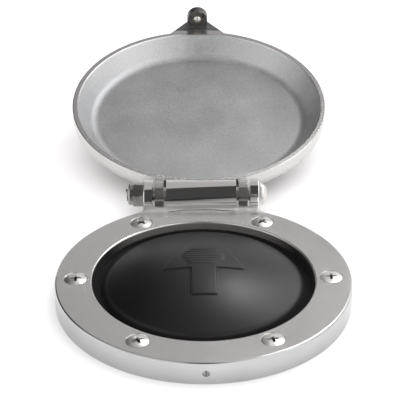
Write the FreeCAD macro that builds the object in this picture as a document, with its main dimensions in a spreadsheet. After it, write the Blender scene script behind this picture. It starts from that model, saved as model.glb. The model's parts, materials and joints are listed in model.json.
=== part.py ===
import FreeCAD, Part
import math
import os
import Sketcher

# Deck foot switch with a hinged protective cover, in millimetres.
# Origin: centre of the deck ring, on the deck surface. +Z is up, +Y points to the hinge.
# The cover is modelled shut, then turned to its open rest pose by its Placement.

Vector = FreeCAD.Vector
Rotation = FreeCAD.Rotation
Placement = FreeCAD.Placement

doc = FreeCAD.newDocument("foot_switch")

# ---------------------------------------------------------------- driving dimensions

DIMENSIONS = [
    ("ring_radius", 50.0, "outside of the deck ring"),
    ("ring_height", 8.0, "ring thickness above the deck"),
    ("opening_radius", 37.5, "opening that shows the rubber button"),
    ("flange_pocket_radius", 47.3, "pocket under the ring for the switch body"),
    ("flange_height", 3.0, "thickness of the switch body's flange"),
    ("bead_pocket_radius", 40.6, "step that traps the rubber bead"),
    ("bead_pocket_top", 5.0, "underside of the ring's inner lip"),
    ("edge_rounding", 0.6, "rounding of the ring's top edges"),
    ("lip_rounding", 0.35, "rounding of the small edges"),
    ("screw_circle", 43.0, "radius of the deck screw circle"),
    ("screw_hole_radius", 2.25, "clearance hole for a 4 mm screw"),
    ("countersink_radius", 4.0, "countersink at the ring's top"),
    ("screw_radius", 2.0, "4 mm screw thread"),
    ("screw_neck_radius", 1.9, "plain neck below the head"),
    ("screw_head_radius", 3.75, "raised countersunk head"),
    ("screw_head_sink", 0.1, "head edge below the ring's top"),
    ("screw_head_rim", 0.15, "upright rim of the head"),
    ("screw_crown_radius", 12.0, "sphere of the raised head"),
    ("screw_length", 22.0, "thread below the deck surface"),
    ("screw_point", 3.0, "length of the screw's point"),
    ("recess_width", 0.85, "width of a cross recess slot"),
    ("recess_span", 4.0, "width across the cross recess"),
    ("recess_depth", 1.9, "depth of the cross recess"),
    ("hinge_y", 55.4, "hinge axis behind the ring's centre"),
    ("hinge_z", 9.4, "hinge axis above the deck"),
    ("knuckle_radius", 5.3, "barrel and ears on the ring"),
    ("tab_half", 21.0, "half width of the hinge tab"),
    ("tab_front", 43.5, "where the hinge tab starts inside the ring"),
    ("tab_rear", 58.6, "rear face of the hinge tab"),
    ("tab_corner", 4.0, "hollow corner between tab and ring"),
    ("slot_inner", 12.7, "slot side next to the barrel"),
    ("slot_outer", 17.8, "slot side next to the ear"),
    ("slot_front", 48.6, "front end of the slots"),
    ("slot_corner", 1.6, "corner radius of the slots"),
    ("foot_groove_circle", 46.5, "faint groove in front of the barrel"),
    ("foot_groove_radius", 0.6, "radius of that groove's section"),
    ("foot_groove_depth", 0.25, "depth of that groove"),
    ("foot_groove_end", 0.7, "the groove stops this far from the slots"),
    ("hinge_bore_radius", 2.56, "bore for the hinge bolt"),
    ("bolt_radius", 2.5, "5 mm hinge bolt"),
    ("bolt_head_radius", 4.0, "low domed bolt head"),
    ("bolt_head_height", 2.9, "height of the domed head"),
    ("bolt_head_rounding", 2.3, "rounding of the domed head"),
    ("bolt_end", 27.4, "threaded end of the bolt"),
    ("nut_flats", 8.0, "width across the nut's flats"),
    ("nut_hex_height", 3.7, "height of the nut's hexagon"),
    ("nut_collar_radius", 3.9, "collar that holds the nylon ring"),
    ("nut_collar_height", 1.85, "height of the collar"),
    ("nut_chamfer", 0.55, "rounding of the hexagon's six corners"),
    ("nut_collar_rounding", 0.7, "rounding of the collar's end"),
    ("insert_radius", 3.5, "outside of the nylon ring"),
    ("nut_tilt", 12.0, "how far the tightened nut is turned"),
    ("detent_radius", 1.2, "catch hole in the front of the ring"),
    ("detent_depth", 1.8, "depth of the catch hole"),
    ("catch_height", 4.0, "height of the catch above the deck"),
    ("cover_centre_y", 1.0, "centre of the cover's disc when shut"),
    ("cover_radius", 49.2, "outside of the cover"),
    ("cover_gap", 0.1, "gap between shut cover and ring"),
    ("cover_lip", 2.0, "width of the cover's rim"),
    ("cover_floor_radius", 41.3, "flat inside the cover"),
    ("cover_floor_z", 16.0, "inside of the cover above the deck"),
    ("cover_blend", 4.0, "hollow corner inside the cover"),
    ("cover_side_z", 11.3, "top of the cover's upright side"),
    ("cover_shoulder_radius", 43.67, "where the side meets the crown"),
    ("cover_shoulder_z", 17.28, "height of that meeting"),
    ("cover_side_bend", 6.0, "rounding of the side"),
    ("cover_crown_z", 19.0, "top of the shut cover"),
    ("cover_open_angle", 169.5, "turn from shut to open"),
    ("barrel_relief", 5.6, "cover is cut clear of the barrel"),
    ("relief_side", 0.5, "that cut runs past the barrel's ends"),
    ("lug_centre", 15.25, "middle of each cover lug"),
    ("lug_width", 3.2, "thickness of a cover lug"),
    ("lug_knuckle_radius", 4.9, "round end of a lug"),
    ("lug_front", 46.6, "where a lug grows out of the cover"),
    ("lug_top", 13.4, "top of a lug's arm"),
    ("lug_clearance", 0.35, "gap between a lug's arm and the ring"),
    ("lug_bore_radius", 2.58, "bore through a cover lug"),
    ("latch_root_half", 11.7, "half width of the latch at the rim"),
    ("latch_half", 4.15, "half width of the latch tab"),
    ("latch_face", 50.6, "inner face of the latch tab"),
    ("latch_back", 55.2, "outer face of the latch tab"),
    ("latch_tip_z", 4.35, "centre of the tab's round end"),
    ("latch_back_rounding", 1.5, "rounding of the tab's outer face"),
    ("latch_plate", 3.2, "thickness of the latch's plate"),
    ("latch_root_y", 45.8, "where the plate grows out of the rim"),
    ("sleeve_radius", 2.1, "brass sleeve of the ball catch"),
    ("sleeve_bore", 1.75, "bore of that sleeve"),
    ("sleeve_mouth", 1.55, "peened mouth that keeps the ball in"),
    ("sleeve_depth", 3.9, "depth of the sleeve"),
    ("ball_radius", 1.7, "catch ball"),
    ("ball_seat", 0.3, "how far the ball enters its hole"),
    ("ball_back", 1.275, "spring seat behind the ball's centre"),
    ("catch_wire", 0.3, "wire of the catch spring"),
    ("catch_turns", 3.0, "turns of the catch spring"),
    ("seal_inner", 38.0, "inside of the deck seal"),
    ("seal_outer", 40.2, "outside of the deck seal"),
    ("seal_height", 1.5, "height of the deck seal"),
    ("flange_gap", 0.3, "gap round the switch body's flange"),
    ("barrel_radius", 36.0, "outside of the switch body"),
    ("barrel_inner", 34.0, "inside of the switch body"),
    ("barrel_bottom", -37.0, "lower end of the switch body"),
    ("cover_step", -34.0, "step that the bottom cover closes"),
    ("step_radius", 34.8, "bore for the bottom cover"),
    ("web_top", -12.0, "upper face of the guide web"),
    ("web_bottom", -15.0, "lower face of the guide web"),
    ("boss_radius", 8.0, "guide boss"),
    ("boss_top", -9.0, "upper end of the guide boss"),
    ("boss_bottom", -17.0, "lower end of the guide boss"),
    ("guide_bore", 5.08, "bore that guides the stem"),
    ("body_screw_circle", 43.5, "circle of the body screws"),
    ("body_screw_radius", 1.5, "3 mm body screw"),
    ("body_screw_head", 2.9, "head of a body screw"),
    ("body_screw_head_height", 1.4, "depth of that head"),
    ("body_slot_half", 1.7, "half length of its cross slots"),
    ("body_slot_depth", 0.8, "depth of its cross slots"),
    ("body_screw_top", 6.3, "tip of a body screw inside the ring"),
    ("pillar_circle", 29.0, "circle of the bottom cover's pillars"),
    ("pillar_radius", 3.2, "pillar for a bottom cover screw"),
    ("pillar_screw_radius", 1.25, "bottom cover screw"),
    ("pillar_screw_tip", -25.0, "tip of a bottom cover screw"),
    ("pillar_head_radius", 2.4, "head of a bottom cover screw"),
    ("pillar_head_height", 1.8, "height of that head"),
    ("bottom_gap", 0.1, "gap round the bottom cover"),
    ("o_ring_wire", 1.2, "section of the bottom cover's seal"),
    ("terminal_x", 14.0, "distance of a terminal from the centre"),
    ("terminal_radius", 3.0, "6 mm terminal stud"),
    ("terminal_head_radius", 6.0, "head of a terminal stud"),
    ("terminal_head_height", 3.0, "height of that head"),
    ("terminal_chamfer", 0.5, "chamfer at a stud's end"),
    ("terminal_seat", -31.5, "underside of the stud's head"),
    ("terminal_boss_radius", 7.5, "boss that the stud stands on"),
    ("terminal_end", -52.0, "lower end of a stud"),
    ("tip_radius", 3.0, "silver contact"),
    ("tip_height", 0.8, "height of a silver contact"),
    ("washer_radius", 6.2, "plain washer"),
    ("washer_height", 1.0, "thickness of a plain washer"),
    ("spring_washer_radius", 5.6, "split spring washer"),
    ("spring_washer_height", 1.5, "thickness of the spring washer"),
    ("jam_nut_height", 3.2, "thin nut that holds the stud"),
    ("lug_nut_height", 5.0, "full nut for the cable lug"),
    ("terminal_nut_flats", 10.0, "width across a terminal nut"),
    ("dome_apex", 13.0, "top of the rubber button"),
    ("dome_sphere", 90.0, "sphere of the rubber crown"),
    ("dome_radius", 33.0, "edge of the rubber crown"),
    ("dome_wall", 2.5, "thickness of the rubber crown"),
    ("moat_inner", 35.2, "inside of the groove round the button"),
    ("moat_outer", 36.6, "outside of that groove"),
    ("moat_z", 4.0, "floor of that groove"),
    ("moat_rise", 0.5, "slant of the groove's outer wall"),
    ("shoulder_drop", 1.25, "bevel between crown and groove"),
    ("bead_radius", 40.3, "outside of the rubber bead"),
    ("bead_gap", 0.05, "play above and below the bead"),
    ("bead_inner", 35.0, "inside of the bead"),
    ("dome_inner_radius", 32.4, "inside of the rubber wall"),
    ("plunger_radius", 32.0, "edge of the plunger plate"),
    ("plunger_gap", 0.2, "gap between plunger and rubber"),
    ("plunger_rim_z", 1.7, "bottom of the plunger's rim"),
    ("plunger_rim_width", 2.2, "width of that rim"),
    ("plunger_hub_radius", 15.5, "hub that the spring pushes on"),
    ("plunger_shell", 2.6, "thickness of the plunger plate"),
    ("stem_radius", 5.0, "guide stem"),
    ("stem_bottom", -18.0, "shoulder of the stem"),
    ("pin_radius", 3.0, "pin that carries the contact bar"),
    ("pin_bottom", -26.4, "end of that pin"),
    ("clip_groove_radius", 2.3, "groove for the retaining clip"),
    ("clip_radius", 5.2, "outside of the retaining clip"),
    ("clip_height", 0.7, "thickness of the retaining clip"),
    ("clip_mouth_half", 1.84, "half width of the clip's mouth"),
    ("bar_top", -22.5, "upper face of the contact bar"),
    ("bar_height", 2.0, "thickness of the contact bar"),
    ("bar_half_length", 18.0, "half length of the contact bar"),
    ("bar_half_width", 4.5, "half width of the contact bar"),
    ("bar_bore", 3.08, "bore of the contact bar"),
    ("contact_gap", 2.5, "open gap between the contacts"),
    ("return_mean_radius", 12.0, "mean radius of the return spring"),
    ("return_wire", 1.5, "wire of the return spring"),
    ("return_turns", 4.5, "turns of the return spring"),
    ("contact_mean_radius", 3.9, "mean radius of the contact spring"),
    ("contact_wire", 0.7, "wire of the contact spring"),
    ("contact_turns", 3.0, "turns of the contact spring"),
    ("spring_end_gap", 0.05, "play at a spring's ends"),
]

SCREW_ANGLES = (0, 60, 120, 180, 240, 300)      # deck screws round the ring, degrees from +X
CROSS_TURNS = (0, 45, 45, 0, 25, 10)            # where each cross recess stopped when driven home
BODY_SCREW_ANGLES = (30, 150, 270)
PILLAR_ANGLES = (45, 135, 225, 315)
SIDES = (-1, 1)
THROUGH = 1.0                                   # how far a cutting tool runs past a face
NEAR = 1e-4                                     # two lengths this close count as equal
HALF_TURN = 0.5                                 # length of one edge of a spring's line, in turns

sheet = doc.addObject("Spreadsheet::Sheet", "Sizes")
for row, (alias, number, meaning) in enumerate(DIMENSIONS, start=1):
    sheet.set("A{}".format(row), alias)
    sheet.set("B{}".format(row), str(number))
    sheet.set("C{}".format(row), meaning)
    sheet.setAlias("B{}".format(row), alias)
doc.recompute()


class Size:
    """A length or angle that carries its number and its spreadsheet formula together."""

    def __init__(self, number, formula):
        self.number = number
        self.formula = formula

    def __add__(self, other):
        other = as_size(other)
        return Size(self.number + other.number, "({} + {})".format(self.formula, other.formula))

    def __sub__(self, other):
        other = as_size(other)
        return Size(self.number - other.number, "({} - {})".format(self.formula, other.formula))

    def __mul__(self, other):
        other = as_size(other)
        return Size(self.number * other.number, "({} * {})".format(self.formula, other.formula))

    def __truediv__(self, other):
        other = as_size(other)
        return Size(self.number / other.number, "({} / {})".format(self.formula, other.formula))

    def __neg__(self):
        return Size(-self.number, "(0 - {})".format(self.formula))

    def __radd__(self, other):
        return as_size(other) + self

    def __rsub__(self, other):
        return as_size(other) - self

    def __rmul__(self, other):
        return as_size(other) * self


def as_size(value):
    if isinstance(value, Size):
        return value
    return Size(float(value), "{:.6f}".format(value))


def root(value):
    """Square root of a Size."""
    return Size(math.sqrt(value.number), "sqrt({})".format(value.formula))


def leg(hypotenuse, other_leg):
    """The remaining leg of a right-angled triangle."""
    return root(hypotenuse * hypotenuse - other_leg * other_leg)


class Dimensions:
    """The spreadsheet's cells as Size values."""


dim = Dimensions()
for alias, number, _ in DIMENSIONS:
    setattr(dim, alias, Size(number, "Sizes." + alias))

# ---------------------------------------------------------------- helpers

AXIS_TURN = {
    "X": Rotation(Vector(0, 1, 0), 90),
    "Y": Rotation(Vector(1, 0, 0), -90),
    "Z": Rotation(),
}


def bind(feature, **sizes):
    """Tie each named property of a feature to its formula."""
    for name, value in sizes.items():
        feature.setExpression(name, as_size(value).formula)
    return feature


def place(feature, x=0, y=0, z=0, turn=None):
    """Set a feature's rotation, and tie its position to formulas."""
    feature.Placement = Placement(Vector(), turn or Rotation())
    for axis, value in (("x", x), ("y", y), ("z", z)):
        feature.setExpression("Placement.Base." + axis, as_size(value).formula)
    return feature


def cylinder(name, radius, height, x=0, y=0, z=0, axis="Z"):
    """A cylinder that starts at x, y, z and runs along an axis."""
    feature = bind(doc.addObject("Part::Cylinder", name), Radius=radius, Height=height)
    return place(feature, x, y, z, AXIS_TURN[axis])


def cone(name, low_radius, high_radius, height, x=0, y=0, z=0, axis="Z"):
    feature = bind(doc.addObject("Part::Cone", name), Radius1=low_radius, Radius2=high_radius, Height=height)
    return place(feature, x, y, z, AXIS_TURN[axis])


def block(name, x0, x1, y0, y1, z0, z1):
    """A box between two corners."""
    feature = doc.addObject("Part::Box", name)
    bind(feature, Length=as_size(x1) - x0, Width=as_size(y1) - y0, Height=as_size(z1) - z0)
    return place(feature, x0, y0, z0)


def hexagon(name, flats, height, x=0, y=0, z=0, turn=None):
    feature = doc.addObject("Part::Prism", name)
    feature.Polygon = 6
    bind(feature, Circumradius=flats / root(as_size(3)), Height=height)
    return place(feature, x, y, z, turn)


def joined(name, *shapes):
    feature = doc.addObject("Part::MultiFuse", name)
    feature.Shapes = list(shapes)
    feature.Refine = True
    return feature


def cut(name, base, *tools):
    """The base with every tool taken out of it."""
    feature = doc.addObject("Part::Cut", name)
    feature.Base = base
    feature.Tool = tools[0] if len(tools) == 1 else joined(name + "_tools", *tools)
    feature.Refine = True
    return feature


def shared(name, first, second):
    feature = doc.addObject("Part::MultiCommon", name)
    feature.Shapes = [first, second]
    return feature


def group(name, solids):
    """Identical pieces held as one node of separate solids."""
    feature = doc.addObject("Part::Compound", name)
    feature.Links = list(solids)
    return feature


def rounded(name, base, radius, wanted):
    """The base with the edges that wanted() picks rounded."""
    doc.recompute()
    edges = enumerate(base.Shape.Edges, start=1)
    picked = [index for index, edge in edges if not edge.Degenerated and wanted(edge)]
    if not picked:
        raise RuntimeError(name + ": no edge to round")
    feature = doc.addObject("Part::Fillet", name)
    feature.Base = base
    feature.Edges = [(index, radius.number, radius.number) for index in picked]
    return feature


def round_edge(edge, radius):
    """Whether an edge is a circle or arc of this radius."""
    return edge.Curve.TypeId == "Part::GeomCircle" and abs(edge.Curve.Radius - radius.number) < NEAR


def level_edge(edge, z):
    """Whether an edge lies wholly at one height."""
    box = edge.BoundBox
    return abs(box.ZMin - z.number) < NEAR and abs(box.ZMax - z.number) < NEAR


class Arc:
    """An outline step: a bend of the given radius to a point, turning left (+1) or right (-1)."""

    def __init__(self, x, y, radius, turn):
        self.end = (as_size(x), as_size(y))
        self.radius = radius
        self.turn = turn


def arc_geometry(start, end, radius, turn):
    """The arc of a circle from start to end."""
    middle = (start + end) * 0.5
    chord = end - start
    half = chord.Length / 2
    left = Vector(-chord.y, chord.x, 0).normalize()
    centre = middle + left * (turn * math.sqrt(radius * radius - half * half))
    circle = Part.Circle(centre, Vector(0, 0, 1), radius)
    first, last = (start, end) if turn > 0 else (end, start)
    return Part.ArcOfCircle(circle, circle.parameter(first), circle.parameter(last))


def draw(sketch, steps):
    """A closed outline whose corners and bends are tied to formulas."""
    corners = [step.end if isinstance(step, Arc) else (as_size(step[0]), as_size(step[1])) for step in steps]
    points = [Vector(x.number, y.number, 0) for x, y in corners]
    ends = []
    for index, step in enumerate(steps):
        start, end = points[index - 1], points[index]
        if isinstance(step, Arc):
            edge = sketch.addGeometry(arc_geometry(start, end, step.radius.number, step.turn), False)
            radius = sketch.addConstraint(Sketcher.Constraint("Radius", edge, step.radius.number))
            sketch.setExpression("Constraints[{}]".format(radius), step.radius.formula)
            ends.append((edge, 1, 2) if step.turn > 0 else (edge, 2, 1))
        else:
            edge = sketch.addGeometry(Part.LineSegment(start, end), False)
            ends.append((edge, 1, 2))
    for index, (edge, start_end, finish_end) in enumerate(ends):
        following, following_start, _ = ends[(index + 1) % len(ends)]
        sketch.addConstraint(Sketcher.Constraint("Coincident", edge, finish_end, following, following_start))
        for direction, value in zip(("DistanceX", "DistanceY"), corners[index]):
            rule = Sketcher.Constraint(direction, -1, 1, edge, finish_end, value.number)
            number = sketch.addConstraint(rule)
            sketch.setExpression("Constraints[{}]".format(number), value.formula)


def sketched_body(name, plane, steps):
    """A PartDesign body with one sketch on one of its own planes."""
    body = doc.addObject("PartDesign::Body", name)
    sketch = body.newObject("Sketcher::SketchObject", name + "_outline")
    support = [feature for feature in body.Origin.OriginFeatures if feature.Role == plane][0]
    sketch.AttachmentSupport = (support, [""])
    sketch.MapMode = "FlatFace"
    draw(sketch, steps)
    return body, sketch


def turned(name, steps):
    """An outline of radius and height, turned once round Z."""
    body, sketch = sketched_body(name, "XZ_Plane", steps)
    feature = body.newObject("PartDesign::Revolution", name + "_turn")
    feature.Profile = sketch
    feature.ReferenceAxis = (sketch, ["V_Axis"])
    feature.Angle = 360
    return body


def extruded(name, steps, height):
    """An outline in plan, raised along Z."""
    body, sketch = sketched_body(name, "XY_Plane", steps)
    feature = body.newObject("PartDesign::Pad", name + "_pad")
    feature.Profile = sketch
    bind(feature, Length=height)
    return body


def coil(name, radius, wire, turns, low, high):
    """A compression spring between two heights, round Z."""
    rise = high - low - wire
    spine = bind(doc.addObject("Part::Helix", name + "_line"), Pitch=rise / turns, Height=rise, Radius=radius)
    spine.SegmentLength = HALF_TURN
    place(spine, z=low + wire / 2)
    section = bind(doc.addObject("Part::Circle", name + "_wire"), Radius=wire / 2)
    place(section, x=radius, z=low + wire / 2, turn=Rotation(Vector(1, 0, 0), 90))
    sweep = doc.addObject("Part::Sweep", name)
    sweep.Sections = [section]
    doc.recompute()
    sweep.Spine = (spine, ["Edge{}".format(number + 1) for number in range(len(spine.Shape.Edges))])
    sweep.Solid = True
    sweep.Frenet = True
    return sweep


def on_circle(radius, angle):
    """A point on a circle round the origin, as formulas."""
    x = radius * Size(math.cos(math.radians(angle)), "cos({})".format(angle))
    y = radius * Size(math.sin(math.radians(angle)), "sin({})".format(angle))
    return x, y


def swung_open(feature):
    """Turn a piece modelled on the shut cover back about the hinge to the open rest pose."""
    angle = dim.cover_open_angle
    cosine = Size(math.cos(math.radians(angle.number)), "cos({})".format(angle.formula))
    sine = Size(math.sin(math.radians(angle.number)), "sin({})".format(angle.formula))
    place(
        feature,
        y=dim.hinge_y - dim.hinge_y * cosine - dim.hinge_z * sine,
        z=dim.hinge_z + dim.hinge_y * sine - dim.hinge_z * cosine,
        turn=Rotation(Vector(-1, 0, 0), angle.number),
    )
    feature.setExpression("Placement.Rotation.Angle", angle.formula)
    return feature


pieces = []


def piece(label, feature):
    """Register a finished sub-part under its node name."""
    feature.Label = label
    pieces.append(feature)
    return feature


# ---------------------------------------------------------------- fixed parts on the deck

def cross_recess(name, x, y, top, turn):
    """A cross recess that tapers inwards, cut down from a screw head's top."""
    arms = []
    for number, extra in enumerate((0, 90)):
        arm = doc.addObject("Part::Box", "{}_arm{}".format(name, number))
        bind(arm, Length=dim.recess_span, Width=dim.recess_width, Height=dim.recess_depth + THROUGH)
        rotation = Rotation(Vector(0, 0, 1), turn + extra)
        corner = rotation.multVec(Vector(1, 0, 0))
        along = dim.recess_span / 2
        across = dim.recess_width / 2
        arm_x = x - along * corner.x + across * corner.y
        arm_y = y - along * corner.y - across * corner.x
        place(arm, arm_x, arm_y, top - dim.recess_depth, rotation)
        arms.append(arm)
    taper = cone(name + "_taper", dim.recess_width / 2, dim.recess_span / 2, dim.recess_depth, x, y,
                 top - dim.recess_depth)
    mouth = cylinder(name + "_mouth", dim.recess_span / 2, THROUGH, x, y, top)
    return shared(name, joined(name + "_arms", *arms), joined(name + "_envelope", taper, mouth))


def deck_screw(number, angle, cross_turn):
    """One raised countersunk screw: head, neck, thread and point."""
    name = "deck_screw_{}".format(number)
    edge_z = dim.ring_height - dim.screw_head_sink
    cone_top = edge_z - dim.screw_head_rim
    neck_top = cone_top - (dim.screw_head_radius - dim.screw_neck_radius)
    crown = dim.screw_crown_radius - leg(dim.screw_crown_radius, dim.screw_head_radius)
    body = turned(name, [
        (0, -dim.screw_length),
        (dim.screw_radius, -dim.screw_length + dim.screw_point),
        (dim.screw_radius, 0),
        (dim.screw_neck_radius, 0),
        (dim.screw_neck_radius, neck_top),
        (dim.screw_head_radius, cone_top),
        (dim.screw_head_radius, edge_z),
        Arc(0, edge_z + crown, dim.screw_crown_radius, 1),
    ])
    x, y = on_circle(dim.screw_circle, angle)
    place(body, x, y)
    return cut(name + "_driven", body, cross_recess(name + "_cross", x, y, edge_z + crown, cross_turn))


def base_ring():
    """Deck ring with the hinge tab, barrel and ears, all one casting."""
    blank = turned("ring_blank", [
        (dim.opening_radius, dim.ring_height),
        (dim.opening_radius, dim.bead_pocket_top),
        (dim.bead_pocket_radius, dim.bead_pocket_top),
        (dim.bead_pocket_radius, dim.flange_height),
        (dim.flange_pocket_radius, dim.flange_height),
        (dim.flange_pocket_radius, 0),
        (dim.ring_radius, 0),
        (dim.ring_radius, dim.ring_height),
    ])
    # The tab starts inside the ring, and a hollow corner of radius tab_corner blends each side in.
    tab = block("tab_plate", -dim.tab_half, dim.tab_half, dim.tab_front, dim.tab_rear, 0, dim.ring_height)
    corner_x = dim.tab_half + dim.tab_corner
    corner_y = leg(dim.ring_radius + dim.tab_corner, corner_x)
    share = dim.ring_radius / (dim.ring_radius + dim.tab_corner)
    fillers = []
    hollows = []
    for side in SIDES:
        name = "left" if side < 0 else "right"
        near, far = side * dim.tab_half, side * corner_x * share
        low, high = (far, near) if side < 0 else (near, far)
        fillers.append(block("corner_" + name, low, high, corner_y * share, corner_y, 0, dim.ring_height))
        hollows.append(cylinder("hollow_" + name, dim.tab_corner, dim.ring_height + 2 * THROUGH,
                                side * corner_x, corner_y, -THROUGH))
    pocket = cylinder("pocket_clear", dim.flange_pocket_radius, dim.flange_height + THROUGH, z=-THROUGH)
    plate = cut("plate", joined("plate_blank", blank, tab, *fillers), pocket, *hollows)
    top_edges = rounded("plate_rounded", plate, dim.edge_rounding,
                        lambda edge: level_edge(edge, dim.ring_height))

    knuckle = cylinder("knuckle", dim.knuckle_radius, 2 * dim.tab_half, -dim.tab_half, dim.hinge_y,
                       dim.hinge_z, "X")
    knuckle_round = rounded("knuckle_rounded", knuckle, dim.lip_rounding,
                            lambda edge: round_edge(edge, dim.knuckle_radius))
    tools = [cylinder("hinge_bore", dim.hinge_bore_radius, 2 * (dim.tab_half + THROUGH),
                      -dim.tab_half - THROUGH, dim.hinge_y, dim.hinge_z, "X")]
    for side in SIDES:
        name = "slot_left" if side < 0 else "slot_right"
        near, far = (-dim.slot_outer, -dim.slot_inner) if side < 0 else (dim.slot_inner, dim.slot_outer)
        slot = block(name, near, far, dim.slot_front, dim.hinge_y + 2 * dim.knuckle_radius, -THROUGH,
                     dim.hinge_z + 2 * dim.knuckle_radius)
        tools.append(rounded(name + "_rounded", slot, dim.slot_corner, slot_corner_edge))
    for number, angle in enumerate(SCREW_ANGLES):
        x, y = on_circle(dim.screw_circle, angle)
        tools.append(cylinder("screw_hole_{}".format(number), dim.screw_hole_radius,
                              dim.ring_height + 2 * THROUGH, x, y, -THROUGH))
        tools.append(cone("countersink_{}".format(number), 0, dim.countersink_radius + THROUGH,
                          dim.countersink_radius + THROUGH, x, y, dim.ring_height - dim.countersink_radius))
    for number, angle in enumerate(BODY_SCREW_ANGLES):
        x, y = on_circle(dim.body_screw_circle, angle)
        tools.append(cylinder("blind_hole_{}".format(number), dim.body_screw_radius,
                              dim.body_screw_top + 2 * THROUGH, x, y, -2 * THROUGH))
    groove_half = dim.slot_inner - dim.foot_groove_end
    torus = bind(doc.addObject("Part::Torus", "foot_groove_ring"), Radius1=dim.foot_groove_circle,
                 Radius2=dim.foot_groove_radius)
    place(torus, z=dim.ring_height + dim.foot_groove_radius - dim.foot_groove_depth)
    reach = block("foot_groove_reach", -groove_half, groove_half, dim.tab_front, dim.slot_front,
                  dim.bead_pocket_top, dim.ring_height + dim.foot_groove_radius)
    tools.append(shared("foot_groove", torus, reach))
    tools.append(cylinder("detent", dim.detent_radius, dim.detent_depth + THROUGH, 0,
                          -dim.ring_radius - THROUGH, dim.catch_height, "Y"))
    return cut("ring", joined("ring_solid", top_edges, knuckle_round), *tools)


def slot_corner_edge(edge):
    """The two upright edges at a slot's front end."""
    box = edge.BoundBox
    return abs(box.YMin - dim.slot_front.number) < NEAR and box.YLength < NEAR and box.XLength < NEAR


def switch_body():
    """Moulded housing: clamping flange, barrel, guide web with its boss, and four screw pillars."""
    shell = turned("housing_shell", [
        (dim.barrel_inner, dim.flange_height),
        (dim.barrel_inner, dim.web_top),
        (dim.boss_radius, dim.web_top),
        (dim.boss_radius, dim.boss_top),
        (dim.guide_bore, dim.boss_top),
        (dim.guide_bore, dim.boss_bottom),
        (dim.boss_radius, dim.boss_bottom),
        (dim.boss_radius, dim.web_bottom),
        (dim.barrel_inner, dim.web_bottom),
        (dim.barrel_inner, dim.cover_step),
        (dim.step_radius, dim.cover_step),
        (dim.step_radius, dim.barrel_bottom),
        (dim.barrel_radius, dim.barrel_bottom),
        (dim.barrel_radius, 0),
        (dim.seal_inner, 0),
        (dim.seal_inner, dim.seal_height),
        (dim.seal_outer, dim.seal_height),
        (dim.seal_outer, 0),
        (dim.flange_pocket_radius - dim.flange_gap, 0),
        (dim.flange_pocket_radius - dim.flange_gap, dim.flange_height),
    ])
    solids = [shell]
    tools = []
    for number, angle in enumerate(PILLAR_ANGLES):
        x, y = on_circle(dim.pillar_circle, angle)
        solids.append(cylinder("pillar_{}".format(number), dim.pillar_radius, dim.web_bottom - dim.cover_step,
                               x, y, dim.cover_step))
        tools.append(cylinder("pillar_hole_{}".format(number), dim.pillar_screw_radius,
                              dim.pillar_screw_tip - dim.cover_step + 2 * THROUGH, x, y,
                              dim.cover_step - THROUGH))
    for number, angle in enumerate(SCREW_ANGLES):
        x, y = on_circle(dim.screw_circle, angle)
        tools.append(cylinder("flange_hole_{}".format(number), dim.screw_hole_radius,
                              dim.flange_height + 2 * THROUGH, x, y, -THROUGH))
    for number, angle in enumerate(BODY_SCREW_ANGLES):
        x, y = on_circle(dim.body_screw_circle, angle)
        tools.append(cylinder("body_hole_{}".format(number), dim.body_screw_radius,
                              dim.flange_height + 2 * THROUGH, x, y, -THROUGH))
        tools.append(cone("body_sink_{}".format(number), dim.body_screw_head, dim.body_screw_radius,
                          dim.body_screw_head_height, x, y, 0))
    return cut("housing", joined("housing_solid", *solids), *tools)


def body_screw(number, angle):
    """One countersunk screw that holds the switch body up into the ring."""
    x, y = on_circle(dim.body_screw_circle, angle)
    name = "body_screw_{}".format(number)
    head = cone(name + "_head", dim.body_screw_head, dim.body_screw_radius, dim.body_screw_head_height, x, y)
    shank = cylinder(name + "_shank", dim.body_screw_radius, dim.body_screw_top - dim.body_screw_head_height,
                     x, y, dim.body_screw_head_height)
    arms = [
        block(name + "_arm_x", x - dim.body_slot_half, x + dim.body_slot_half, y - dim.recess_width / 2,
              y + dim.recess_width / 2, -THROUGH, dim.body_slot_depth),
        block(name + "_arm_y", x - dim.recess_width / 2, x + dim.recess_width / 2, y - dim.body_slot_half,
              y + dim.body_slot_half, -THROUGH, dim.body_slot_depth),
    ]
    return cut(name, joined(name + "_solid", head, shank), *arms)


def deck_seal():
    return turned("deck_seal_ring", [
        (dim.seal_inner, 0),
        (dim.seal_outer, 0),
        (dim.seal_outer, dim.seal_height),
        (dim.seal_inner, dim.seal_height),
    ])


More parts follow.
